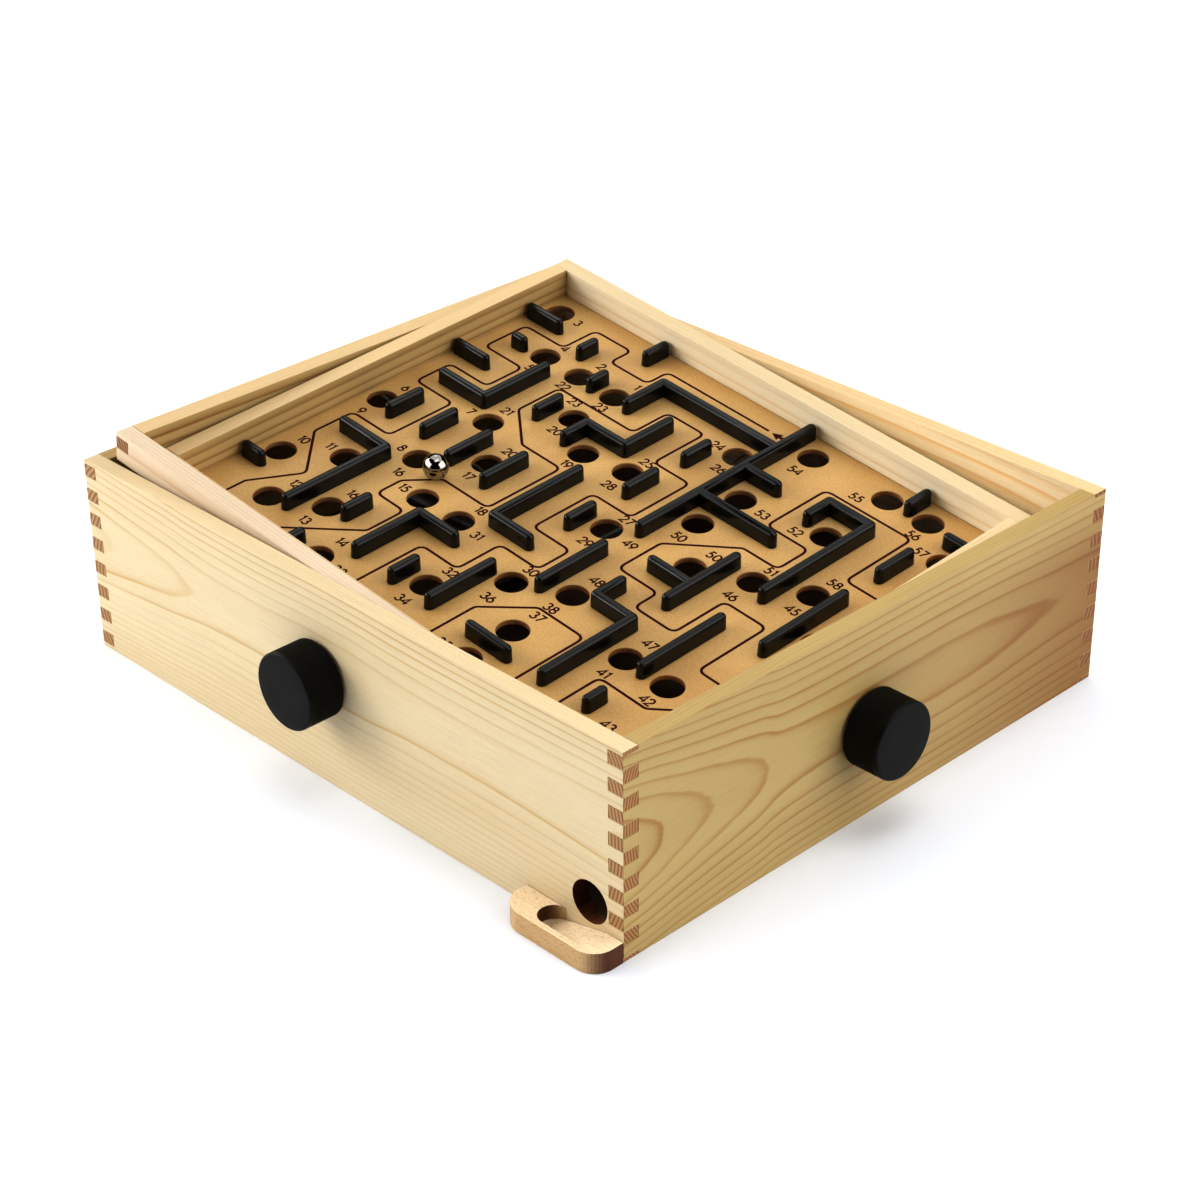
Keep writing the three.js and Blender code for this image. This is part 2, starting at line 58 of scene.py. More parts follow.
JOINTS = {joint["name"]: joint for joint in frame["joints"]}

# ---- Frames: the box is upright, the ring tilts about X and the maze tilts in it about Y ----
PIVOT = Vector(JOINTS["ring_tilt"]["pos_m"])
RING_ANGLE = math.atan2(JOINTS["maze_tilt"]["axis"][2], JOINTS["maze_tilt"]["axis"][1])
MAZE_ANGLE = math.radians(-4.5)
BOX = Matrix.Translation((PIVOT.x, PIVOT.y, 0))
RING = Matrix.Translation(PIVOT) @ Matrix.Rotation(RING_ANGLE, 4, "X")
MAZE = RING @ Matrix.Rotation(MAZE_ANGLE, 4, "Y")

# Half sizes in millimetres: the box's outer faces, and the middles of the rails
BOX_HALF_X, BOX_HALF_Y = 155, 177.5
RING_HALF_X, RING_HALF_Y = 139.5, 161.5
FRAME_HALF_X, FRAME_HALF_Y = 128.75, 150.75

MAZE_WALLS = sorted(name for name in NODES if name.startswith("maze_wall_"))


# ================= Materials =================

def linear(red, green, blue):
    """A colour given as 0 to 255 sRGB values, as linear numbers."""
    parts = []
    for value in (red, green, blue):
        c = value / 255
        parts.append(c / 12.92 if c <= 0.04045 else ((c + 0.055) / 1.055) ** 2.4)
    return (*parts, 1.0)


class Graph:
    """A material and short names for adding nodes to it."""

    def __init__(self, name):
        self.material = bpy.data.materials.new(name)
        self.material.use_nodes = True
        self.tree = self.material.node_tree
        self.shader = self.tree.nodes["Principled BSDF"]
        self.coords = self.add("ShaderNodeTexCoord")

    def add(self, kind, inputs=(), **settings):
        node = self.tree.nodes.new(kind)
        for key, value in settings.items():
            setattr(node, key, value)
        for key, value in dict(inputs).items():
            self.feed(node.inputs[key], value)
        return node

    def feed(self, socket, value):
        if isinstance(value, bpy.types.NodeSocket):
            self.tree.links.new(value, socket)
        else:
            socket.default_value = value

    def math(self, operation, *values):
        node = self.add("ShaderNodeMath", operation=operation)
        for socket, value in zip(node.inputs, values):
            self.feed(socket, value)
        return node.outputs[0]

    def placed(self, place):
        """Millimetres in the frame of a placed piece."""
        node = self.add("ShaderNodeMapping", {
            "Vector": self.coords.outputs["Object"], "Location": place.to_translation(),
            "Rotation": place.to_euler(), "Scale": (MM, MM, MM),
        }, vector_type="TEXTURE")
        return node.outputs[0]

    def split(self, vector):
        return self.add("ShaderNodeSeparateXYZ", {0: vector}).outputs

    def stretch(self, vector, scale, offset=(0, 0, 0)):
        node = self.add("ShaderNodeMapping", {"Vector": vector, "Scale": scale, "Location": offset})
        return node.outputs[0]

    def noise(self, vector, scale=1.0, detail=2.0, roughness=0.5):
        node = self.add("ShaderNodeTexNoise", {
            "Vector": vector, "Scale": scale, "Detail": detail, "Roughness": roughness,
        })
        return node.outputs[0]

    def ramp(self, value, stops):
        """Maps a number through (position, level) stops, as a smooth grey ramp."""
        node = self.add("ShaderNodeValToRGB", {"Fac": value})
        elements = node.color_ramp.elements
        while len(elements) > 1:
            elements.remove(elements[-1])
        elements[0].position = stops[0][0]
        elements[0].color = (stops[0][1],) * 3 + (1,)
        for position, level in stops[1:]:
            elements.new(position).color = (level,) * 3 + (1,)
        return node.outputs[0]

    def mix(self, factor, a, b, blend="MIX"):
        node = self.add("ShaderNodeMix", data_type="RGBA", blend_type=blend)
        self.feed(node.inputs["Factor"], factor)
        self.feed(node.inputs["A"], a)
        self.feed(node.inputs["B"], b)
        return node.outputs["Result"]

    def bump(self, height, strength, distance):
        node = self.add("ShaderNodeBump", {"Height": height, "Strength": strength, "Distance": distance})
        self.feed(self.shader.inputs["Normal"], node.outputs[0])

    def finish(self, **values):
        for key, value in values.items():
            self.feed(self.shader.inputs[key.replace("_", " ")], value)
        return self.material


def curve_value(graph, value, points):
    """A number mapped through smooth (input, output) points."""
    lows = [min(p[i] for p in points) for i in (0, 1)]
    spans = [max(p[i] for p in points) - lows[i] for i in (0, 1)]
    node = graph.add("ShaderNodeFloatCurve")
    line = node.mapping.curves[0]
    scaled = [((x - lows[0]) / spans[0], (y - lows[1]) / spans[1]) for x, y in points]
    line.points[0].location = scaled[0]
    line.points[1].location = scaled[-1]
    for x, y in scaled[1:-1]:
        line.points.new(x, y)
    node.mapping.update()
    scaled_in = graph.math("MULTIPLY", graph.math("SUBTRACT", value, lows[0]), 1 / spans[0])
    graph.feed(node.inputs["Value"], graph.math("MINIMUM", graph.math("MAXIMUM", scaled_in, 0.0), 1.0))
    return graph.math("MULTIPLY_ADD", node.outputs[0], spans[1], lows[1])


# How dark one year's growth is, from its soft early wood to its hard late wood.
SOFT_LINE = [(0.0, 0.3), (0.07, 0.0), (0.5, 0.06), (0.72, 0.4), (0.88, 1.0), (1.0, 0.7)]
CRISP_LINE = [(0.0, 0.25), (0.06, 0.0), (0.6, 0.06), (0.78, 0.28), (0.93, 1.0), (1.0, 0.6)]


def wood(name, place, along, rings, tones, seed):
    """Softwood sawn from a log: yearly rings are cylinders about a pith that wanders along the board.

    place: the board's frame, with X along the grain, Y from the bark side inwards and Z across.
    rings: pith height, pith distance, ring spacing, and the wander of that distance along the board. Some
    boards also have a line (how a year's growth darkens), a strength of the lines by height, a stretch along
    the board over which the wood darkens, most of all low down, partly its own colour and partly painted
    shade, and a hole (centre and radius) whose wall is darkened as painted shade.
    tones: early wood, late wood, end grain light and end grain dark. Some boards also have a painted tone for
    the faces that look up, with how it is blended in: painted shade where it darkens them, painted light
    where it makes them paler.
    """
    graph = Graph(name)
    position = graph.placed(place)
    x, y, z = graph.split(position)
    slow = graph.noise(graph.stretch(position, (0.006, 0.03, 0.03), (seed, 3 * seed, 0)), detail=3.0)
    fast = graph.noise(graph.stretch(position, (0.03, 0.25, 0.25), (0, seed, seed)), detail=2.0)
    wave = graph.math("MULTIPLY_ADD", slow, rings["wave"], -rings["wave"] / 2)
    ripple = graph.math("MULTIPLY_ADD", fast, rings["ripple"], -rings["ripple"] / 2)
    pith = curve_value(graph, x, rings["wander"])
    across = graph.math("SUBTRACT", z, rings["height"])
    inward = graph.math("SUBTRACT", graph.math("ADD", pith, rings["distance"]), y)
    radius = graph.math("SQRT", graph.math(
        "ADD", graph.math("MULTIPLY", across, across), graph.math("MULTIPLY", inward, inward)))
    radius = graph.math("ADD", radius, graph.math("ADD", wave, ripple))
    phase = graph.math("DIVIDE", graph.math("SUBTRACT", radius, rings["distance"]), rings["spacing"])
    ring = graph.math("FLOOR", phase)
    share = graph.math("FRACT", phase)
    line = graph.ramp(share, rings.get("line", SOFT_LINE))
    each = graph.add("ShaderNodeTexWhiteNoise", {"W": graph.math("ADD", ring, seed)}, noise_dimensions="1D")
    weight = graph.math("MULTIPLY_ADD", each.outputs["Value"], 0.55, 0.45)
    patch = graph.noise(graph.stretch(position, (0.012, 0.05, 0.05), (seed, 0, seed)), detail=2.0)
    weight = graph.math("MULTIPLY", weight, graph.math("MULTIPLY_ADD", patch, 0.9, 0.55))
    if "strength" in rings:
        weight = graph.math("MULTIPLY", weight, curve_value(graph, z, rings["strength"]))
    facing_up = graph.math("ABSOLUTE", graph.split(graph.coords.outputs["Normal"])[2])
    weight = graph.math("MULTIPLY", weight, graph.ramp(facing_up, [(0.6, 1.0), (0.9, 0.45)]))
    late = graph.math("MULTIPLY", line, weight)

    fibre = graph.noise(graph.stretch(position, (0.035, 1.6, 1.6)), detail=4.0, roughness=0.65)
    pores = graph.noise(graph.stretch(position, (0.35, 4.0, 4.0)), detail=2.0)
    tint = graph.noise(graph.stretch(position, (0.005, 0.03, 0.03), (0, 0, seed)), detail=2.0)
    side = graph.mix(late, tones[0], tones[1])
    side = graph.mix(graph.math("MULTIPLY", tint, 0.35), side, tones[1], "MULTIPLY")
    # Darkens the wood along the board and most of all low down: partly its own colour, partly painted shade.
    if "deeper_and_shaded" in rings:
        low_x, high_x = rings["deeper_and_shaded"]
        deep_and_shade = graph.math("MULTIPLY", graph.math("SUBTRACT", x, low_x), 1 / (high_x - low_x))
        deep_and_shade = graph.ramp(deep_and_shade, [(0.0, 0.0), (0.5, 0.3), (1.0, 1.0)])
        share_of_height = graph.math("MULTIPLY", z, 0.01)
        deep_and_shade = graph.math("MULTIPLY", deep_and_shade, graph.ramp(share_of_height, [(0.7, 0.9), (0.95, 0.1)]))
        side = graph.mix(deep_and_shade, side, linear(186, 142, 58), "MULTIPLY")
    # Painted light and shade: faces that look up get their own tone, darker or paler than the sides.
    if len(tones) > 4:
        top, blend = tones[4]
        side = graph.mix(graph.ramp(facing_up, [(0.5, 0.0), (0.8, 1.0)]), side, top, blend)
    streak = graph.ramp(fibre, [(0.25, 0.86), (0.5, 0.96), (0.75, 1.0)])
    side = graph.mix(1.0, side, streak, "MULTIPLY")
    fleck = graph.ramp(pores, [(0.3, 0.93), (0.45, 1.0)])
    side = graph.mix(1.0, side, fleck, "MULTIPLY")

    end_line = graph.ramp(share, [(0.0, 0.4), (0.12, 0.05), (0.5, 0.25), (0.75, 0.9), (1.0, 0.9)])
    end_fleck = graph.noise(graph.stretch(position, (0.8, 3.0, 3.0)), detail=3.0)
    end = graph.mix(end_line, tones[2], tones[3])
    end = graph.mix(1.0, end, graph.ramp(end_fleck, [(0.3, 0.82), (0.6, 1.0)]), "MULTIPLY")
    facing = graph.add("ShaderNodeVectorMath", {0: graph.coords.outputs["Normal"], 1: along},
                       operation="DOT_PRODUCT")
    is_end = graph.ramp(graph.math("ABSOLUTE", facing.outputs["Value"]), [(0.6, 0.0), (0.8, 1.0)])
    colour = graph.mix(is_end, side, end)
    # Painted shade: the wall of a hole through the board is darkened.
    if "shaded_hole" in rings:
        along_x, across_z, radius_now = rings["shaded_hole"]
        off_x = graph.math("SUBTRACT", x, along_x)
        off_z = graph.math("SUBTRACT", z, across_z)
        off = graph.math("ADD", graph.math("MULTIPLY", off_x, off_x), graph.math("MULTIPLY", off_z, off_z))
        in_hole_shade = graph.math("LESS_THAN", off, (radius_now + 0.05) ** 2)
        colour = graph.mix(in_hole_shade, colour, linear(128, 78, 56), "MULTIPLY")
    relief = graph.math("ADD", graph.math("MULTIPLY", fibre, 0.6), graph.math("MULTIPLY", late, 0.5))
    graph.bump(relief, 0.25, 0.00012)
    roughness = graph.math("MULTIPLY_ADD", fibre, 0.18, 0.42)
    return graph.finish(Base_Color=colour, Roughness=roughness, Specular_IOR_Level=0.4)


def board_frame(base, along, inward):
    """A board's frame in a base frame: X along the grain, Y inwards from the bark side, Z across."""
    x_axis = Vector(along)
    y_axis = Vector(inward[0]).normalized()
    z_axis = x_axis.cross(y_axis)
    turn = Matrix((x_axis, y_axis, z_axis)).transposed().to_4x4()
    return base @ Matrix.Translation(Vector(inward[1]) * MM) @ turn


PINE = [linear(232, 217, 182), linear(208, 172, 104), linear(184, 138, 80), linear(122, 74, 36)]
HONEY = [linear(197, 174, 117), linear(172, 127, 61), linear(192, 152, 98), linear(132, 84, 44)]
# Paler than the pine as painted light on the right wall's inner face, with painted shade on faces that look
# up.
LIT_CREAM = [linear(252, 238, 206), linear(242, 206, 148), linear(164, 112, 58), linear(108, 62, 28),
         (linear(234, 222, 204), "MULTIPLY")]
PALE = [linear(236, 216, 174), linear(216, 182, 130), linear(190, 152, 106), linear(138, 94, 58)]
# Paler than the plain pale pine as painted light on the right rails' inner faces, with painted shade on faces
# that look up.
LIT_PALER = [linear(254, 244, 218), linear(242, 222, 184), linear(190, 152, 106), linear(138, 94, 58),
         (linear(224, 214, 196), "MULTIPLY")]
PINK = [linear(235, 219, 194), linear(214, 183, 148), linear(206, 168, 118), linear(156, 108, 66)]
# Darker than the pine as painted shade on the back rails' inner faces, with painted light on faces that look
# up.
SHADED_BROWN = [linear(214, 188, 130), linear(158, 106, 52), linear(170, 128, 82), linear(112, 70, 38),
         (linear(222, 194, 146), "MIX")]
STRAIGHT = [(-180, 0.0), (180, 0.4)]


def wall_materials():
    """One board of pine for each wall, with its bark side outwards."""
    front_rings = {
        "height": 52.5, "distance": 95, "spacing": 1.9, "wave": 0.6, "ripple": 0.3,
        "wander": [(-155, -7.2), (-142, -6.4), (-118, -4.6), (-77, -2.4), (-55, -1.2), (60, -0.8),
                   (123, 0.0), (155, 0.3)],
        # The front wall darkens toward its right end and low down: partly its own colour, partly painted
        # shade.
        "deeper_and_shaded": (-50, 165), "line": CRISP_LINE,
    }
    left_rings = {
        "height": 60, "distance": 80, "spacing": 1.55, "wave": 0.7, "ripple": 0.2,
        "wander": [(-178, -3.6), (-120, -2.2), (-60, -1.2), (0, -1.6), (60, -1.1), (178, -1.6)],
        # The hole in this wall gets painted shade on its wall.
        "shaded_hole": (158.2, 20, 10), "line": CRISP_LINE,
        "strength": [(0, 0.5), (34, 0.45), (44, 0.9), (52, 0.5), (68, 0.35), (78, 0.8), (90, 1.0),
                     (100, 1.0)],
    }
    back_rings = {
        "height": 38, "distance": 60, "spacing": 2.6, "wave": 1.2, "ripple": 0.25,
        "wander": [(-155, -3.0), (-40, -1.0), (70, 0.5), (155, 3.0)],
    }
    right_rings = {
        "height": 64, "distance": 70, "spacing": 2.8, "wave": 1.2, "ripple": 0.25,
        "wander": [(-178, 4.0), (-90, 1.5), (60, 0.0), (178, -4.0)],
    }
    return {
        "wall_front": wood("pine_front", board_frame(BOX, (1, 0, 0), ((0, 1, 0), (0, -BOX_HALF_Y, 0))),
                           (1, 0, 0), front_rings, HONEY, 3.1),
        "wall_left": wood("pine_left", board_frame(BOX, (0, -1, 0), ((1, 0, 0), (-BOX_HALF_X, 0, 0))),
                          (0, 1, 0), left_rings, PINE, 7.7),
        "wall_back": wood("pine_back", board_frame(BOX, (-1, 0, 0), ((0, -1, 0), (0, BOX_HALF_Y, 0))),
                          (1, 0, 0), back_rings, HONEY, 12.3),
        "wall_right": wood("pine_right", board_frame(BOX, (0, 1, 0), ((-1, 0, 0), (BOX_HALF_X, 0, 0))),
                           (0, 1, 0), right_rings, LIT_CREAM, 17.9),
    }


def rail_material(name, base, along, centre, tones, seed):
    """Straight-grained pale pine for one rail."""
    rings = {
        "height": 4 + seed % 5, "distance": 45, "spacing": 2.1, "wave": 0.8, "ripple": 0.15,
        "wander": STRAIGHT,
    }
    inward = (Vector(along).cross(Vector((0, 0, 1))) + Vector((0, 0, 0.5)), centre)
    direction = base.to_3x3() @ Vector(along)
    return wood(name, board_frame(base, along, inward), direction, rings, tones, seed)


def hardboard(name):
    graph = Graph(name)
    position = graph.placed(MAZE)
    cloud = graph.noise(graph.stretch(position, (0.02, 0.02, 0.02)), detail=3.0)
    felt = graph.noise(graph.stretch(position, (0.9, 0.9, 0.9)), detail=5.0, roughness=0.7)
    speck = graph.noise(graph.stretch(position, (2.4, 2.4, 2.4), (9, 4, 0)), detail=2.0)
    tone = graph.mix(graph.ramp(cloud, [(0.3, 0.0), (0.7, 1.0)]), linear(211, 172, 108), linear(196, 154, 92))
    tone = graph.mix(1.0, tone, graph.ramp(felt, [(0.3, 0.76), (0.52, 0.97), (0.8, 1.05)]), "MULTIPLY")
    tone = graph.mix(graph.ramp(speck, [(0.28, 0.5), (0.38, 0.0)]), tone, linear(150, 104, 62))
    _, _, height = graph.split(position)
    is_top = graph.ramp(graph.math("MULTIPLY_ADD", height, 0.4, 4.3), [(0.45, 0.0), (0.6, 1.0)])
    core = graph.mix(graph.ramp(felt, [(0.3, 0.0), (0.7, 1.0)]), linear(140, 92, 56), linear(176, 124, 76))
    graph.bump(felt, 0.15, 0.0001)
    return graph.finish(Base_Color=graph.mix(is_top, core, tone), Roughness=0.5, Specular_IOR_Level=0.4)


def beech(name):
    graph = Graph(name)
    position = graph.placed(BOX)
    fibre = graph.noise(graph.stretch(position, (1.3, 0.05, 1.3)), detail=4.0, roughness=0.6)
    pores = graph.noise(graph.stretch(position, (3.2, 0.5, 3.2), (5, 1, 2)), detail=1.0)
    level = graph.ramp(fibre, [(0.3, 0.0), (0.7, 1.0)])
    tone = graph.mix(level, linear(246, 228, 196), linear(232, 206, 168))
    tone = graph.mix(graph.ramp(pores, [(0.3, 0.75), (0.4, 0.0)]), tone, linear(178, 140, 98))
    # Painted shade: faces that don't look up are darkened.
    looking_up = graph.ramp(graph.split(graph.coords.outputs["Normal"])[2], [(0.3, 0.0), (0.8, 1.0)])
    tone = graph.mix(looking_up, graph.mix(1.0, tone, linear(214, 196, 168), "MULTIPLY"), tone)
    # Faces toward -Y and +Y are much darker: partly end grain, partly painted shade.
    end = graph.mix(1.0, tone, linear(112, 74, 44), "MULTIPLY")
    facing = graph.split(graph.coords.outputs["Normal"])[1]
    tone = graph.mix(graph.ramp(graph.math("ABSOLUTE", facing), [(0.35, 0.0), (0.95, 1.0)]), tone, end)
    graph.bump(fibre, 0.2, 0.0001)
    return graph.finish(Base_Color=tone, Roughness=0.55, Specular_IOR_Level=0.35)


def plywood(name):
    graph = Graph(name)
    position = graph.placed(BOX)
    warp = graph.noise(graph.stretch(position, (0.004, 0.012, 0.004)), detail=3.0)
    _, y, _ = graph.split(position)
    wave = graph.math("SINE", graph.math("MULTIPLY_ADD", warp, 60.0, graph.math("MULTIPLY", y, 0.05)))
    fibre = graph.noise(graph.stretch(position, (0.03, 1.0, 1.0)), detail=4.0)
    # Dark tones: partly the plywood's own colour, partly painted shade for the space under the board.
    tone = graph.mix(graph.math("MULTIPLY_ADD", wave, 0.25, 0.3), linear(100, 68, 42), linear(76, 48, 29))
    tone = graph.mix(1.0, tone, graph.ramp(fibre, [(0.3, 0.86), (0.7, 1.0)]), "MULTIPLY")
    return graph.finish(Base_Color=tone, Roughness=0.65)


def black_plastic(name, colour, roughness, grain, shine=0.5):
    """Moulded plastic with a fine spark-eroded grain and faint handling marks."""
    graph = Graph(name)
    position = graph.placed(BOX)
    fine = graph.noise(graph.stretch(position, (3.0, 3.0, 3.0)), detail=2.0)
    wear = graph.noise(graph.stretch(position, (0.08, 0.08, 0.08)), detail=4.0)
    tone = graph.mix(graph.ramp(wear, [(0.35, 0.0), (0.7, 1.0)]), colour, [1.5 * c for c in colour[:3]] + [1])
    graph.bump(fine, grain, 0.00008)
    rough = graph.math("ADD", graph.math("MULTIPLY_ADD", wear, 0.14, roughness - 0.07),
                       graph.math("MULTIPLY", fine, 0.04))
    return graph.finish(Base_Color=tone, Roughness=rough, Specular_IOR_Level=shine)


def metal(name, colour, roughness, lines):
    """Steel: polished where lines is small, drawn where it is large."""
    graph = Graph(name)
    position = graph.placed(BOX)
    scratch = graph.noise(graph.stretch(position, (0.6, 4.0, 4.0)), detail=3.0)
    stain = graph.noise(graph.stretch(position, (0.15, 0.15, 0.15)), detail=3.0)
    tone = graph.mix(graph.math("MULTIPLY", stain, 0.3), colour, linear(150, 146, 140))
    rough = graph.math("MULTIPLY_ADD", scratch, lines, roughness)
    return graph.finish(Base_Color=tone, Roughness=rough, Metallic=1.0)


def cotton(name):
    graph = Graph(name)
    position = graph.placed(BOX)
    twist = graph.add("ShaderNodeTexWave", {
        "Vector": position, "Scale": 0.55, "Distortion": 1.5, "Detail": 1.0,
    }, bands_direction="DIAGONAL")
    tone = graph.mix(twist.outputs["Fac"], linear(196, 184, 158), linear(232, 224, 204))
    graph.bump(twist.outputs["Fac"], 0.5, 0.0002)
    return graph.finish(Base_Color=tone, Roughness=0.9)


def ink(name):
    graph = Graph(name)
    position = graph.placed(MAZE)
    patchy = graph.noise(graph.stretch(position, (1.5, 1.5, 1.5)), detail=3.0)
    tone = graph.mix(graph.ramp(patchy, [(0.35, 0.0), (0.7, 1.0)]), linear(50, 6, 8), linear(68, 14, 14))
    return graph.finish(Base_Color=tone, Roughness=0.7, Specular_IOR_Level=0.08)


def paint(node_or_object, material):
    piece = NODES[node_or_object] if isinstance(node_or_object, str) else node_or_object
    piece.data.materials.clear()
    piece.data.materials.append(material)
    return piece


# ================= Mesh helpers =================

def new_piece(name, mesh_or_bmesh, material, body, place=Matrix.Identity(4), smooth=30):
    """An object from a mesh, painted, shaded by angle and riding on a body."""
    if isinstance(mesh_or_bmesh, bmesh.types.BMesh):
        mesh = bpy.data.meshes.new(name)
        bmesh.ops.recalc_face_normals(mesh_or_bmesh, faces=mesh_or_bmesh.faces)
        mesh_or_bmesh.to_mesh(mesh)
        mesh_or_bmesh.free()
    else:
        mesh = mesh_or_bmesh
    mesh.transform(place)
    shade_by_angle(mesh, smooth)
    piece = bpy.data.objects.new(name, mesh)
    bpy.context.scene.collection.objects.link(piece)
    paint(piece, material)
    if body:
        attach(piece, body)
    return piece


def shade_by_angle(mesh, degrees):
    mesh.shade_smooth()
    shape = bmesh.new()
    shape.from_mesh(mesh)
    for edge in shape.edges:
        edge.smooth = len(edge.link_faces) == 2 and edge.calc_face_angle(0.0) < math.radians(degrees)
    shape.to_mesh(mesh)
    shape.free()


def soften(piece, width, segments, angle=40):
    """Breaks the sharp edges of a piece made of flat facets."""
    weld = piece.modifiers.new("weld", "WELD")
    weld.merge_threshold = 0.00001
    flat = piece.modifiers.new("flat", "DECIMATE")
    flat.decimate_type = "DISSOLVE"
    flat.angle_limit = math.radians(1)
    edge = piece.modifiers.new("edge", "BEVEL")
    edge.width = width * MM
    edge.segments = segments
    edge.limit_method = "ANGLE"
    edge.angle_limit = math.radians(angle)
    edge.miter_outer = "MITER_ARC"
    return piece


def lathe(profile, segments=96):
    """A closed solid turned about Z from (radius, height) points that start and end on the axis."""
    shape = bmesh.new()
    previous = None
    for radius, height in profile:
        if radius == 0:
            ring = [shape.verts.new((0, 0, height * MM))]
        else:
            turns = [2 * math.pi * i / segments for i in range(segments)]
            ring = [shape.verts.new((radius * MM * math.cos(t), radius * MM * math.sin(t), height * MM))
                    for t in turns]
        if previous:
            for i in range(segments):
                corners = [previous[i % len(previous)], previous[(i + 1) % len(previous)],
                           ring[(i + 1) % len(ring)], ring[i % len(ring)]]
                shape.faces.new(list(dict.fromkeys(corners)))
        previous = ring
    return shape


def tube(points, radius, sides=10):
    """A closed round tube along points, in metres, with a section that doesn't twist."""
    shape = bmesh.new()
    rings = []
    normal = None
    for i, point in enumerate(points):
        ahead = points[min(i + 1, len(points) - 1)] - points[max(i - 1, 0)]
        tangent = ahead.normalized()
        if normal is None:
            normal = tangent.orthogonal().normalized()
        normal = (normal - tangent * normal.dot(tangent)).normalized()
        side = tangent.cross(normal)
        turns = [2 * math.pi * k / sides for k in range(sides)]
        rings.append([shape.verts.new(point + radius * (math.cos(t) * normal + math.sin(t) * side))
                      for t in turns])
    for low, high in zip(rings, rings[1:]):
        for k in range(sides):
            shape.faces.new([low[k], low[(k + 1) % sides], high[(k + 1) % sides], high[k]])
    shape.faces.new(rings[0])
    shape.faces.new(rings[-1])
    return shape


# ================= Board and its printing =================

BOARD_TOP = -8.9
BOARD_BOTTOM = -11.8
INK_HEIGHT = 0.04
BROKEN_EDGE = 0.2
# Neighbours on one hole's rim are closer than this, and those of two holes are further apart
RIM_STEP = 4.4


def hole_centres():
    """The board's hole centres and radius in the maze frame, in millimetres, from the board's rim points."""
    to_maze = MAZE.inverted()
    points = {tuple(round(c / MM, 2) for c in to_maze @ v.co) for v in NODES["maze_board"].data.vertices}
    top = [Vector(p[:2]) for p in points if p[2] > BOARD_TOP - 1]
    half = max(abs(p.x) for p in top)
    rims = [p for p in top if abs(p.x) < half - 1]
    groups = []
    while rims:
        group = [rims.pop()]
        for member in group:
            near = [p for p in rims if (p - member).length < RIM_STEP]
            group.extend(near)
            rims = [p for p in rims if p not in near]
        groups.append(group)
    centres = [sum(group, Vector((0, 0))) / len(group) for group in groups]
    radius = max((p - centres[0]).length for p in groups[0])
    return centres, radius, Vector((half, max(abs(p.y) for p in top)))


def drilled_board(material):
    """The board as a filled outline with round holes and slightly broken edges."""
    centres, radius, half = hole_centres()
    curve = bpy.data.curves.new("board_outline", "CURVE")
    curve.dimensions = "2D"
    curve.fill_mode = "BOTH"
    curve.extrude = ((BOARD_TOP - BOARD_BOTTOM) / 2 - BROKEN_EDGE) * MM
    curve.bevel_depth = BROKEN_EDGE * MM
    curve.bevel_resolution = 1
    curve.offset = -BROKEN_EDGE * MM
    loops = [[Vector((sx * half.x, sy * half.y)) for sx, sy in ((-1, -1), (1, -1), (1, 1), (-1, 1))]]
    for centre in centres:
        turns = [2 * math.pi * i / 48 for i in range(48)]
        loops.append([centre + radius * Vector((math.cos(t), math.sin(t))) for t in turns])
    for loop in loops:
        spline = curve.splines.new("POLY")
        spline.points.add(len(loop) - 1)
        for point, place in zip(spline.points, loop):
            point.co = (place.x * MM, place.y * MM, 0, 1)
        spline.use_cyclic_u = True
    outline = bpy.data.objects.new("board_outline", curve)
    bpy.context.scene.collection.objects.link(outline)
    evaluated = outline.evaluated_get(bpy.context.evaluated_depsgraph_get())
    mesh = bpy.data.meshes.new_from_object(evaluated)
    bpy.data.objects.remove(outline)
    shape = bmesh.new()
    shape.from_mesh(mesh)
    bmesh.ops.remove_doubles(shape, verts=shape.verts, dist=0.00001)
    place = MAZE @ Matrix.Translation((0, 0, (BOARD_TOP + BOARD_BOTTOM) / 2 * MM))
    board = new_piece("printed_board", shape, material, "maze", place)
    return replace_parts(board, "maze_board")


def rounded(points, radius, steps=5):
    """A line whose corners are arcs."""
    result = [points[0]]
    for before, corner, after in zip(points, points[1:], points[2:]):
        into = (before - corner).normalized()
        out = (after - corner).normalized()
        half_angle = into.angle(out) / 2
        reach = min(radius / math.tan(half_angle), (before - corner).length / 2, (after - corner).length / 2)
        start, end = corner + into * reach, corner + out * reach
        for i in range(steps + 1):
            t = i / steps
            result.append((1 - t) ** 2 * start + 2 * t * (1 - t) * corner + t ** 2 * end)
    result.append(points[-1])
    return result


def add_ribbon(shape, points, width, closed=False):
    """A flat raised line of ink through points on the board, in millimetres."""
    count = len(points)
    rows = []
    for i, point in enumerate(points):
        before = points[i - 1] if closed or i > 0 else None
        after = points[(i + 1) % count] if closed or i < count - 1 else None
        normals = []
        for a, b in ((before, point), (point, after)):
            if a is not None and b is not None and (b - a).length > 1e-6:
                direction = (b - a).normalized()
                normals.append(Vector((-direction.y, direction.x)))
        normal = sum(normals, Vector((0, 0))).normalized()
        reach = width / 2 / max(normal.dot(normals[0]), 0.5)
        low, high = BOARD_TOP, BOARD_TOP + INK_HEIGHT
        corners = []
        for side, level in ((1, high), (-1, high), (-1, low), (1, low)):
            place = point + side * reach * normal
            corners.append(shape.verts.new((place.x * MM, place.y * MM, level * MM)))
        rows.append(corners)
    pairs = list(zip(rows, rows[1:])) + ([(rows[-1], rows[0])] if closed else [])
    for a, b in pairs:
        for k in range(4):
            shape.faces.new([a[k], a[(k + 1) % 4], b[(k + 1) % 4], b[k]])
    if not closed:
        shape.faces.new(rows[0])
        shape.faces.new(rows[-1])


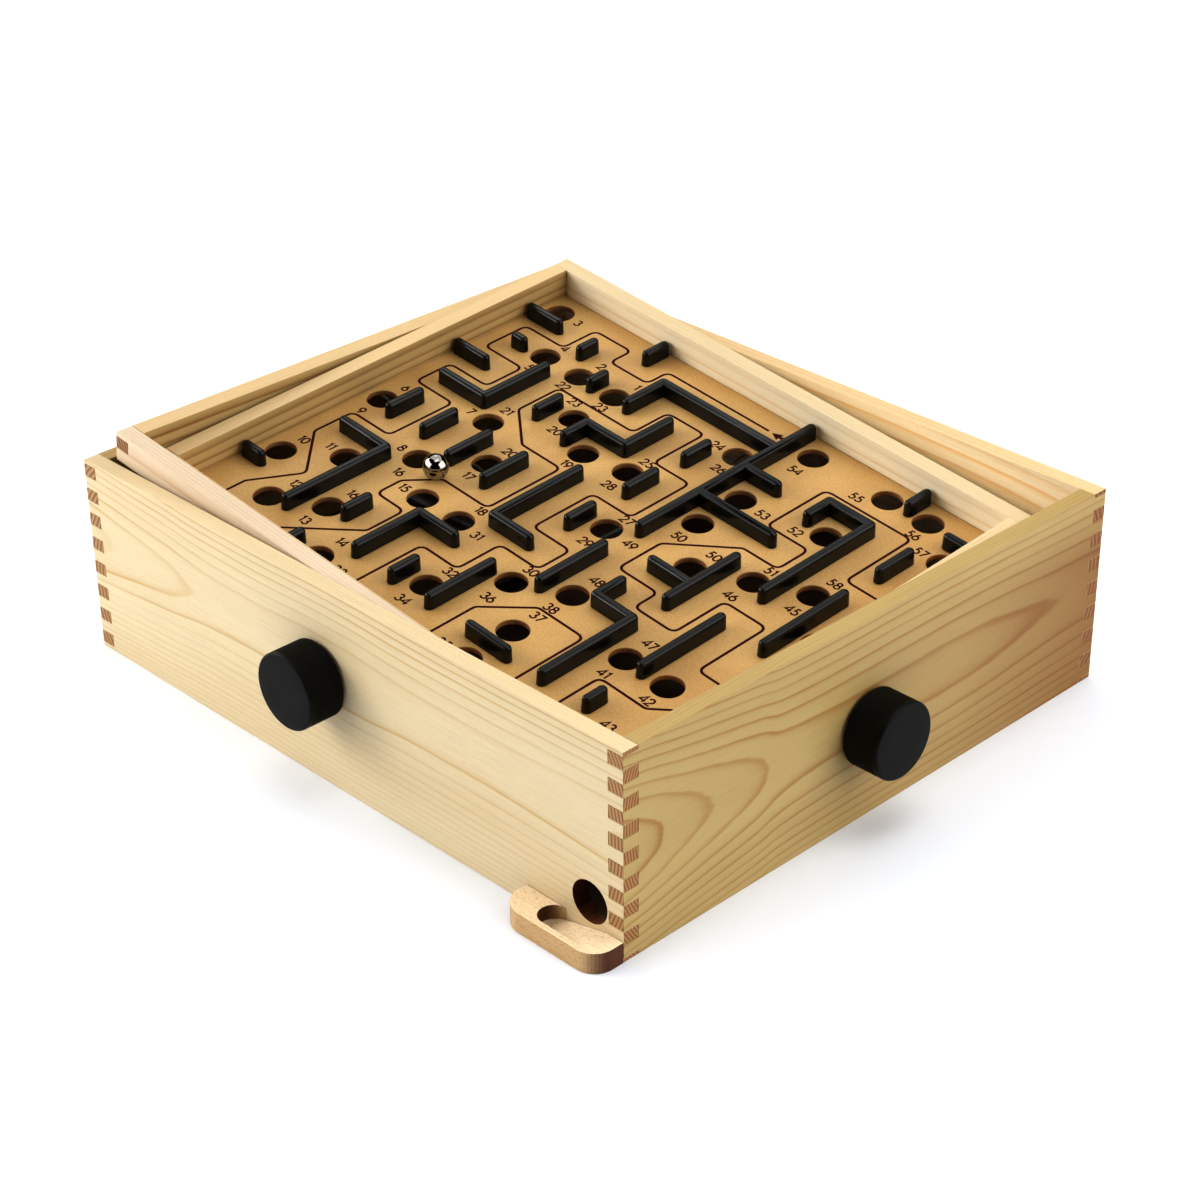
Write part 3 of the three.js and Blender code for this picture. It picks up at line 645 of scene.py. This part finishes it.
# The printed way through the maze, on the board, in millimetres.
WAY = [
    (111.5, -10), (111.9, 59.6), (97.2, 59.6), (97.2, 85.8), (112, 85.8), (112, 111.5), (89, 111.5),
    (89, 139), (60.8, 139), (60.8, 111.5), (36.8, 111.5), (36.8, 138.2), (14.2, 138.2), (14.2, 111.2),
    (-26.8, 111.2), (-26.8, 137.8), (-50.8, 137.8), (-76, 113.3), (-100.8, 127.6), (-118, 127.6),
    (-118, 88.3), (-112.6, 88.3), (-84.5, 59.2), (-62, 59.2), (-62, 78.6), (-47, 78.6), (-32, 66),
    (-32, 35.1), (15, 35.1), (15, 62), (34.4, 85.5), (61.9, 85.5), (61.9, 33.8), (86, 33.8), (86, 9),
    (51.2, 9), (51.2, -15), (11.9, -15), (11.9, 9.9), (-26.5, 9.9), (-26.5, -15), (-46.8, -15),
    (-46.8, 9.8), (-73.4, 9.8), (-73.4, 33.6), (-118, 33.6), (-118, -16.3), (-86, -16.3), (-65.8, -36),
    (-65.8, -65), (-116, -65), (-116, -89.1), (-79.8, -89.1), (-79.8, -117), (-60, -138.5),
    (-45.3, -138.5), (-45.3, -114.4), (-2, -114.4), (-2, -88.8), (-34.3, -88.8), (-34.3, -64.2),
    (-19.4, -64.2), (-19.4, -38.9), (8, -38.9), (33.1, -67), (33.1, -88.3), (54, -88.3), (54, -62.2),
    (95, -62.2), (95, -115.1), (49.4, -115.1), (49.4, -139), (28, -139),
]
WAY_WIDTH = 1.35
WAY_CORNER = 4.0
POINTERS = [
    ((111.3, -12.2), (114.1, -17.4), (108.5, -17.4)),
    ((111.3, -16.4), (114.1, -21.4), (108.5, -21.4)),
]
NUMBERS = [
    (3, 110.6, 122.9), (4, 89, 109.9), (2, 91, 85.6), (1, 90.9, 60.1), (5, 64.1, 109.5), (22, 64.8, 85.8),
    (23, 65.3, 59.8), (23, 59, 71.4), (20, 34.8, 59.9), (19, 19.6, 36), (25, 48.5, 10.4), (28, 22.5, 9.9),
    (21, 29.1, 87.9), (7, 15.9, 99.5), (6, 6, 136.4), (20, 6, 60.8), (24, 84, -1.8), (26, 70.3, -15.8),
    (54, 96.5, -41), (55, 101.5, -75.5), (56, 98.4, -113.3), (57, 90.9, -124.3), (53, 58.8, -55.1),
    (52, 60.3, -74.5), (50, 17.8, -41), (50, 18.8, -62.3), (51, 29.6, -87.6), (58, 44, -113.6),
    (45, 15.9, -113.5), (46, 3.1, -87.6), (27, 9.1, -16), (49, -3.2, -30.1), (9, -22.9, 136),
    (8, -29.1, 98.5), (16, -43.3, 84.5), (15, -49.8, 73), (18, -35.8, 35.1), (17, -21.4, 59.8),
    (31, -50.1, 22), (11, -53.5, 122.4), (10, -59.3, 135.4), (16, -70.8, 85.1), (12, -85.1, 109.5),
    (13, -100.1, 84.5), (14, -98.6, 59.9), (32, -77.3, 9.5), (34, -105.8, 9.3), (33, -113, 44.5),
    (29, -16.6, -14.8), (48, -33.6, -39.9), (30, -50.1, -14.3), (38, -62, -40.1), (37, -70.5, -40.5),
    (36, -77, -15.4), (47, -48, -88), (41, -76.4, -88.3), (42, -75.5, -113.6), (43, -99.2, -114.3),
    (35, -113, -26), (39, -113, -53.5), (40, -113, -98), (44, -17, -136), (60, 18.5, -137),
]
DIGIT_HEIGHT = 4.8
STROKE = 0.92


def arc(cx, cy, rx, ry, start, end, steps=14):
    """Points on an ellipse's arc, in a digit's own square."""
    turns = [math.radians(start + (end - start) * i / steps) for i in range(steps + 1)]
    return [(cx + rx * math.cos(t), cy + ry * math.sin(t)) for t in turns]


# Each digit's strokes, one unit high: round, even-width shapes.
DIGITS = {
    "0": [arc(0.31, 0.5, 0.31, 0.5, 0, 360, 24)],
    "1": [[(0.02, 0.84), (0.24, 1.0), (0.24, 0.0)]],
    "2": [arc(0.29, 0.7, 0.28, 0.3, 170, -35) + [(0.0, 0.0), (0.6, 0.0)]],
    "3": [arc(0.28, 0.76, 0.23, 0.24, 160, -80), arc(0.28, 0.27, 0.3, 0.27, 85, -160)],
    "4": [[(0.48, 0.0), (0.48, 1.0), (-0.02, 0.28), (0.66, 0.28)]],
    "5": [[(0.54, 1.0), (0.2, 1.0)] + arc(0.27, 0.31, 0.3, 0.31, 118, -150)],
    "6": [arc(0.3, 0.31, 0.3, 0.31, 0, 360, 20), [(0.42, 1.0), (0.05, 0.47)]],
    "7": [[(0.0, 1.0), (0.56, 1.0), (0.14, 0.0)]],
    "8": [arc(0.3, 0.76, 0.22, 0.24, 0, 360, 18), arc(0.3, 0.27, 0.29, 0.27, 0, 360, 20)],
    "9": [arc(0.3, 0.69, 0.3, 0.31, 0, 360, 20), [(0.55, 0.53), (0.18, 0.0)]],
}
DIGIT_WIDTH = {"1": 0.3}
DIGIT_SPACE = 0.2


def add_number(shape, number, x, y):
    """A number centred on a point of the board. It reads along -Y, with its top towards +X."""
    text = str(number)
    widths = [DIGIT_WIDTH.get(digit, 0.6) for digit in text]
    cursor = -(sum(widths) + DIGIT_SPACE * (len(text) - 1)) / 2
    for digit, width in zip(text, widths):
        for stroke in DIGITS[digit]:
            closed = stroke[0] == stroke[-1] or math.dist(stroke[0], stroke[-1]) < 0.01
            points = stroke[:-1] if closed else stroke
            placed = [Vector((x + (v - 0.5) * DIGIT_HEIGHT, y - (cursor + u) * DIGIT_HEIGHT))
                      for u, v in points]
            add_ribbon(shape, placed, STROKE, closed)
        cursor += width + DIGIT_SPACE


def print_board(material):
    way = bmesh.new()
    add_ribbon(way, rounded([Vector(point) for point in WAY], WAY_CORNER), WAY_WIDTH)
    new_piece("printed_way", way, material, "maze", MAZE)
    arrows = bmesh.new()
    for points in POINTERS:
        corners = [Vector(point) for point in points]
        low, high = (
            [arrows.verts.new((c.x * MM, c.y * MM, level * MM)) for c in corners]
            for level in (BOARD_TOP, BOARD_TOP + INK_HEIGHT)
        )
        arrows.faces.new(low[::-1])
        arrows.faces.new(high)
        for k in range(3):
            arrows.faces.new([low[k], low[(k + 1) % 3], high[(k + 1) % 3], high[k]])
    new_piece("printed_start", arrows, material, "maze", MAZE)
    numbers = bmesh.new()
    for number, x, y in NUMBERS:
        add_number(numbers, number, x, y)
    new_piece("printed_numbers", numbers, material, "maze", MAZE)


# ================= Maze walls =================

PEG_WIDTH = 5.3
PEG_HEIGHT = 8
PEGS = {
    "short_peg_1": ((72.5, 120.6), (72.5, 131.4)),
    "short_peg_2": ((-101.4, -101), (-87.2, -101)),
    "short_peg_3": ((-87, 130.6), (-87, 146.2)),
    "short_peg_4": ((-124.2, 72.5), (-109.6, 72.5)),
}
WALL_FOOT = 0.1
WALL_ROUND = 1.9
WALL_CORNER = 0.42
WALL_DRAFT = 0.35


def peg_mesh(start, end):
    """The four shortest maze walls: a bar with round ends, like the longer ones."""
    shape = bmesh.new()
    a, b = Vector(start), Vector(end)
    along = (b - a).normalized()
    across = Vector((-along.y, along.x))
    radius = PEG_WIDTH / 2
    outline = []
    for centre, sign in ((b - along * radius, 1), (a + along * radius, -1)):
        for i in range(7):
            angle = math.radians(-90 + 30 * i)
            outline.append(centre + sign * radius * (math.cos(angle) * along + math.sin(angle) * across))
    low, high = (
        [shape.verts.new((p.x * MM, p.y * MM, level * MM)) for p in outline]
        for level in (BOARD_TOP + WALL_FOOT, BOARD_TOP + WALL_FOOT + PEG_HEIGHT)
    )
    shape.faces.new(low[::-1])
    shape.faces.new(high)
    for k in range(len(outline)):
        following = (k + 1) % len(outline)
        shape.faces.new([low[k], low[following], high[following], high[k]])
    return shape


def moulded(shape):
    """Gives a straight-sided bar in the maze frame its draft and a domed top."""
    bmesh.ops.remove_doubles(shape, verts=shape.verts, dist=0.00001)
    bmesh.ops.dissolve_limit(shape, angle_limit=math.radians(1), verts=shape.verts, edges=shape.edges)
    shape.normal_update()
    top = max(vert.co.z for vert in shape.verts)
    lid = [vert for vert in shape.verts if vert.co.z > top - 0.1 * MM]
    moves = {}
    for vert in lid:
        sides = [face.normal for face in vert.link_faces if abs(face.normal.z) < 0.5]
        if sides:
            total = sides[0] + sides[-1]
            moves[vert] = -total / (1 + sides[0].dot(sides[-1])) * WALL_DRAFT * MM
    for vert, move in moves.items():
        vert.co += move
    upright = [edge for edge in shape.edges
               if abs(edge.verts[0].co.z - edge.verts[1].co.z) > 5 * MM and edge.calc_face_angle(0) < 0.7]
    bmesh.ops.bevel(shape, geom=upright, offset=WALL_CORNER * MM, segments=3, profile=0.5, affect="EDGES")
    rim = [edge for edge in shape.edges
           if min(vert.co.z for vert in edge.verts) > top - 0.1 * MM and edge.calc_face_angle(0) > 1]
    bmesh.ops.bevel(shape, geom=rim, offset=WALL_ROUND * MM, segments=6, profile=0.5, affect="EDGES")
    return shape


def make_maze_walls(material):
    to_maze = MAZE.inverted()
    for name in MAZE_WALLS:
        shape = bmesh.new()
        shape.from_mesh(NODES[name].data)
        shape.transform(to_maze)
        wall = new_piece(f"{name}_moulded", moulded(shape), material, "maze", MAZE, 50)
        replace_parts(wall, name)
    for name, (start, end) in PEGS.items():
        shape = peg_mesh(start, end)
        bmesh.ops.recalc_face_normals(shape, faces=shape.faces)
        new_piece(name, moulded(shape), material, "maze", MAZE, 50)


# ================= Knobs, ball, shafts =================

RIBS = 116
RIB_DEPTH = 0.3
RIB_START = 2.4
KNOB_FRONT_ROUND = 1.3
KNOB_BACK_ROUND = 0.8


def knob_mesh(radius, length):
    """A black knob: a flat face, a smooth rounded rim, and fine ribs along its side."""
    rim, back_rim = KNOB_FRONT_ROUND, KNOB_BACK_ROUND
    front = [(radius - rim + rim * math.sin(t), rim - rim * math.cos(t), 0)
             for t in (math.radians(15 * i) for i in range(7))]
    side = [(radius, RIB_START - 0.4, 0), (radius, RIB_START, 1), (radius, length - 1.6, 1),
            (radius, length - 1.2, 0)]
    back = [(radius - back_rim + back_rim * math.cos(t), length - back_rim + back_rim * math.sin(t), 0)
            for t in (math.radians(22.5 * i) for i in range(5))]
    profile = [(0, 0, 0), (radius * 0.5, 0, 0), *front, *side, *back, (radius * 0.5, length, 0),
               (0, length, 0)]
    shares = (0.0, 0.5, 1.0, 0.5)
    count = RIBS * len(shares)
    shape = bmesh.new()
    previous = None
    for reach, height, ribbed in profile:
        if reach == 0:
            ring = [shape.verts.new((0, 0, height * MM))]
        else:
            ring = []
            for i in range(count):
                angle = 2 * math.pi * i / count
                r = (reach - ribbed * RIB_DEPTH * shares[i % len(shares)]) * MM
                ring.append(shape.verts.new((r * math.cos(angle), r * math.sin(angle), height * MM)))
        if previous:
            for i in range(count):
                corners = [previous[i % len(previous)], previous[(i + 1) % len(previous)],
                           ring[(i + 1) % len(ring)], ring[i % len(ring)]]
                shape.faces.new(list(dict.fromkeys(corners)))
        previous = ring
    return shape


def make_knob(side, direction, material):
    node = f"knob_{side}"
    low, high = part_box(node)
    centre = (low + high) / 2
    size = high - low
    axis = Vector(direction)
    length = abs(size.dot(axis)) / MM
    radius = size.z / 2 / MM
    start = centre - axis * length / 2 * MM
    turn = axis.to_track_quat("Z", "Y").to_matrix().to_4x4()
    place = Matrix.Translation(start) @ turn
    knob = new_piece(f"{node}_ribbed", knob_mesh(radius, length), material, f"{side}_control",
                     place, smooth=60)
    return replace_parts(knob, node)


def make_ball(material):
    low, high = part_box("steel_ball")
    radius = (high - low).x / 2 / MM
    turns = [math.radians(-90 + 180 * i / 40) for i in range(41)]
    profile = [(radius * math.cos(t), radius * math.sin(t)) for t in turns]
    profile[0], profile[-1] = (0, -radius), (0, radius)
    ball = new_piece("polished_ball", lathe(profile, 64), material, "ball",
                     Matrix.Translation((low + high) / 2), smooth=60)
    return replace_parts(ball, "steel_ball")


# ================= Strings, springs and eyes =================

STRING_RADIUS = 0.5
WINDING_RADIUS = 3.8
WINDING_TURNS = 2
WINDING_PITCH = 1.4
# Where each string is wound on its shaft, in the box's frame, and the eyes' places under the rails
RING_WINDING = (4, 9.3, 54.5)
MAZE_WINDING = (-7.5, -4, 46.5)
RING_EYE_X, RING_EYE_Y = 4, 161.5
MAZE_EYE_X, MAZE_EYE_Y = 128.7, -4
EYE_DROP = 17
SPRING_LENGTH = 20
SPRING_RADIUS = 1.9
SPRING_WIRE = 0.25
SPRING_TURNS = 26
EYE_RADIUS = 1.5
EYE_WIRE = 0.45


def string_layout(name):
    """The two eyes, the winding's two ends and its frame, for the ring's string or the maze's."""
    if name == "ring":
        shaft = BOX @ (Vector(RING_WINDING) * MM)
        turn = Matrix.Rotation(math.pi / 2, 3, "Z")
        eyes = [RING @ (Vector((RING_EYE_X, sign * RING_EYE_Y, -EYE_DROP)) * MM) for sign in (1, -1)]
    else:
        shaft = BOX @ (Vector(MAZE_WINDING) * MM)
        turn = Matrix.Identity(3)
        eyes = [MAZE @ (Vector((sign * MAZE_EYE_X, MAZE_EYE_Y, -EYE_DROP)) * MM) for sign in (1, -1)]
    half = WINDING_TURNS * WINDING_PITCH / 2
    winding = []
    steps = WINDING_TURNS * 24
    for i in range(steps + 1):
        angle = 2 * math.pi * WINDING_TURNS * i / steps
        point = Vector((-WINDING_RADIUS * math.sin(angle), half - 2 * half * i / steps,
                        WINDING_RADIUS * math.cos(angle)))
        winding.append(shaft + turn @ (point * MM))
    return eyes, winding


def between(a, b, count):
    return [a.lerp(b, i / count) for i in range(count + 1)]


def coil(start, end, radius, wire, turns):
    """A close-wound tension spring with a straight hook at each end."""
    axis = (end - start).normalized()
    side = axis.orthogonal().normalized()
    other = axis.cross(side)
    length = (end - start).length
    hook = 2 * MM
    steps = turns * 12
    points = [start, start + axis * hook * 0.6]
    for i in range(steps + 1):
        angle = 2 * math.pi * turns * i / steps
        along = hook + (length - 2 * hook) * i / steps
        points.append(start + axis * along + radius * MM * (math.cos(angle) * side + math.sin(angle) * other))
    points += [end - axis * hook * 0.6, end]
    return tube(points, wire * MM, 6)


def screw_eye(centre, base, pull):
    """A small wire eye under a rail: a ring that the string is tied to, and a stem up into the wood."""
    up = (base.to_3x3() @ Vector((0, 0, 1))).normalized()
    plane = (pull - up * pull.dot(up)).normalized()
    ring = []
    for i in range(25):
        angle = math.radians(-80 + 340 * i / 24)
        ring.append(centre + EYE_RADIUS * MM * (math.sin(angle) * plane - math.cos(angle) * up))
    return ring, up


def make_string(name, bodies, string_material, steel_material, stem, eye_names):
    (plus, minus), winding = string_layout(name)
    base = RING if name == "ring" else MAZE
    towards = (winding[-1] - minus).normalized()
    spring_end = minus + towards * SPRING_LENGTH * MM
    runs = {"near": between(winding[-1], spring_end, 24), "far": between(winding[0], plus, 30)}
    for run, points in runs.items():
        piece = new_piece(f"{name}_string_{run}", tube(points, STRING_RADIUS * MM, 8), string_material,
                          None)
        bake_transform(piece)
    wound = new_piece(f"{name}_string_wound", tube(winding, STRING_RADIUS * MM, 8), string_material,
                      "box")
    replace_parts(wound, f"{name}_string")
    spring_mesh = coil(minus, spring_end, SPRING_RADIUS, SPRING_WIRE, SPRING_TURNS)
    spring = new_piece(f"{name}_spring_coil", spring_mesh, steel_material, bodies[1])
    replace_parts(spring, f"{name}_spring")
    for eye, centre in zip(eye_names, (plus, minus)):
        ring, up = screw_eye(centre, base, winding[0] - centre)
        line = ring + [ring[-1] + up * (1.2 * MM), ring[-1] + up * (stem * MM)]
        new_piece(f"{name}_eye_{eye}", tube(line, EYE_WIRE * MM, 8), steel_material, bodies[1])


# ================= Stage =================

FLOOR_HALF = 12.0
FLOOR_DROP = 0.00005


def make_floor():
    """A wide sheet of pale paper, a hair below the box."""
    mesh = bpy.data.meshes.new("floor")
    corners = [(sx * FLOOR_HALF, sy * FLOOR_HALF, 0) for sx, sy in ((-1, -1), (1, -1), (1, 1), (-1, 1))]
    mesh.from_pydata(corners, [], [(0, 1, 2, 3)])
    floor = bpy.data.objects.new("floor", mesh)
    floor.location.z = -FLOOR_DROP
    bpy.context.scene.collection.objects.link(floor)
    graph = Graph("floor_paper")
    mottle = graph.noise(graph.coords.outputs["Object"], 3.0, 2.0)
    tone = graph.mix(mottle, linear(238, 242, 250), linear(243, 247, 253))
    paint(floor, graph.finish(Base_Color=tone, Roughness=0.9, Specular_IOR_Level=0.1))


def area_light(name, size, power, place):
    """A rectangular light of a size in metres, which shines along its own -Z."""
    data = bpy.data.lights.new(name, "AREA")
    data.shape = "RECTANGLE"
    data.size, data.size_y = size
    data.energy = power
    light = bpy.data.objects.new(name, data)
    light.matrix_world = place
    bpy.context.scene.collection.objects.link(light)
    return data


def soft_box(name, direction, distance, size, power, turn=0):
    """A light that looks at the middle of the game from a direction."""
    way = Vector(direction).normalized()
    facing = (-way).to_track_quat("-Z", "Y").to_matrix().to_4x4()
    spin = Matrix.Rotation(math.radians(turn), 4, "Z")
    area_light(name, size, power, Matrix.Translation(way * distance) @ (facing @ spin))


def down_light(name, centre, size, power, spread):
    """A light that looks straight down at the floor, in a cone of spread degrees."""
    area_light(name, size, power, Matrix.Translation(centre)).spread = math.radians(spread)


def make_lights():
    """Four soft boxes on the game, two down lights on the floor, and a little light from all round."""
    soft_box("soft_box_left", (-0.41, 0.82, 0.42), 1.8, (1.2, 1.0), 24)
    soft_box("soft_box_near", (-0.85, 0.5, 0.5), 1.8, (1.6, 1.2), 18)
    soft_box("soft_box_right", (0.41, -0.81, 0.47), 1.8, (2.0, 1.6), 31)
    soft_box("soft_box_top", (0.32, 0.2, 1), 1.6, (2.4, 1.8), 18, -45)
    down_light("backdrop_light", (1.2, 1.2, 1.0), (1.6, 1.2), 30, 95)
    down_light("floor_light", (0.1, -0.5, 1.1), (1.2, 0.9), 1.15, 50)
    world = bpy.data.worlds.new("studio")
    world.use_nodes = True
    background = world.node_tree.nodes["Background"]
    background.inputs["Color"].default_value = (0.97, 0.98, 1.0, 1)
    background.inputs["Strength"].default_value = 0.05
    world.cycles_visibility.glossy = False
    bpy.context.scene.world = world
    view = bpy.context.scene.view_settings
    view.view_transform = "Standard"
    view.gamma = 0.8


CAMERA_PLACE = (-0.76504, -0.79324, 0.66293)
CAMERA_FORWARD = (0.620849, 0.617213, -0.483317)
CAMERA_RIGHT = (0.704724, -0.709481, -0.000772)
CAMERA_LENS = 80.75
CAMERA_SHIFT = -0.0333


def make_camera():
    """A view of the near corner, from in front of it and above."""
    data = bpy.data.cameras.new("camera")
    data.sensor_width = 36
    data.lens = CAMERA_LENS
    data.shift_x = data.shift_y = CAMERA_SHIFT
    data.clip_start, data.clip_end = 0.05, 50
    camera = bpy.data.objects.new("camera", data)
    forward = Vector(CAMERA_FORWARD).normalized()
    right = Vector(CAMERA_RIGHT)
    right = (right - forward * right.dot(forward)).normalized()
    up = right.cross(forward)
    turn = Matrix((right, up, -forward)).transposed().to_4x4()
    camera.matrix_world = Matrix.Translation(BOX @ Vector(CAMERA_PLACE)) @ turn
    bpy.context.scene.collection.objects.link(camera)
    bpy.context.scene.camera = camera


# ================= The whole game =================

# The left ring rail's own pinker tone, painted light on the right rails and painted shade on the back rails.
RAIL_TONES_AND_PAINTED_LIGHT = {
    "ring_rail_left": PINK, "ring_rail_back": SHADED_BROWN, "frame_rail_back": SHADED_BROWN,
    "ring_rail_right": LIT_PALER, "frame_rail_right": LIT_PALER,
}


RAILS = {
    "ring_rail": (RING, RING_HALF_X, RING_HALF_Y),
    "frame_rail": (MAZE, FRAME_HALF_X, FRAME_HALF_Y),
}
STEELWORK = (
    "shaft_left", "shaft_front", "ring_pin_left", "ring_pin_right", "maze_pin_front", "maze_pin_back",
)


def make_woodwork():
    for node, material in wall_materials().items():
        soften(paint(node, material), 0.25, 2)
    for prefix, (base, half_x, half_y) in RAILS.items():
        for i, (side, along, centre) in enumerate((
                ("left", (0, 1, 0), (-half_x, 0, 0)), ("right", (0, 1, 0), (half_x, 0, 0)),
                ("front", (1, 0, 0), (0, -half_y, 0)), ("back", (1, 0, 0), (0, half_y, 0)))):
            node = f"{prefix}_{side}"
            tones = RAIL_TONES_AND_PAINTED_LIGHT.get(node, PALE)
            seed = 2.3 * i + len(prefix)
            material = rail_material(f"pine_{node}", base, along, centre, tones, seed)
            soften(paint(node, material), 0.3, 2)
    soften(paint("return_floor", plywood("plywood")), 0.15, 1)
    soften(paint("catch_tray", beech("beech")), 0.8, 4)


def make_game():
    make_woodwork()
    drilled_board(hardboard("hardboard"))
    print_board(ink("maroon_ink"))
    make_maze_walls(black_plastic("satin_black", linear(11, 11, 8), 0.22, 0.08, 0.3))
    knob_black = black_plastic("knob_black", linear(10, 9, 6), 0.45, 0.15, 0.12)
    make_knob("left", (1, 0, 0), knob_black)
    make_knob("front", (0, 1, 0), knob_black)
    make_ball(metal("ball_steel", linear(160, 156, 148), 0.05, 0.03))
    drawn = metal("drawn_steel", linear(120, 120, 118), 0.4, 0.25)
    for node in STEELWORK:
        soften(paint(node, drawn), 0.2, 1)
    cord = cotton("braided_cotton")
    make_string("ring", ("box", "tilt_ring"), cord, drawn, 12, ("back", "front"))
    make_string("maze", ("tilt_ring", "maze"), cord, drawn, 8, ("right", "left"))


make_camera()
make_floor()
make_lights()
make_game()
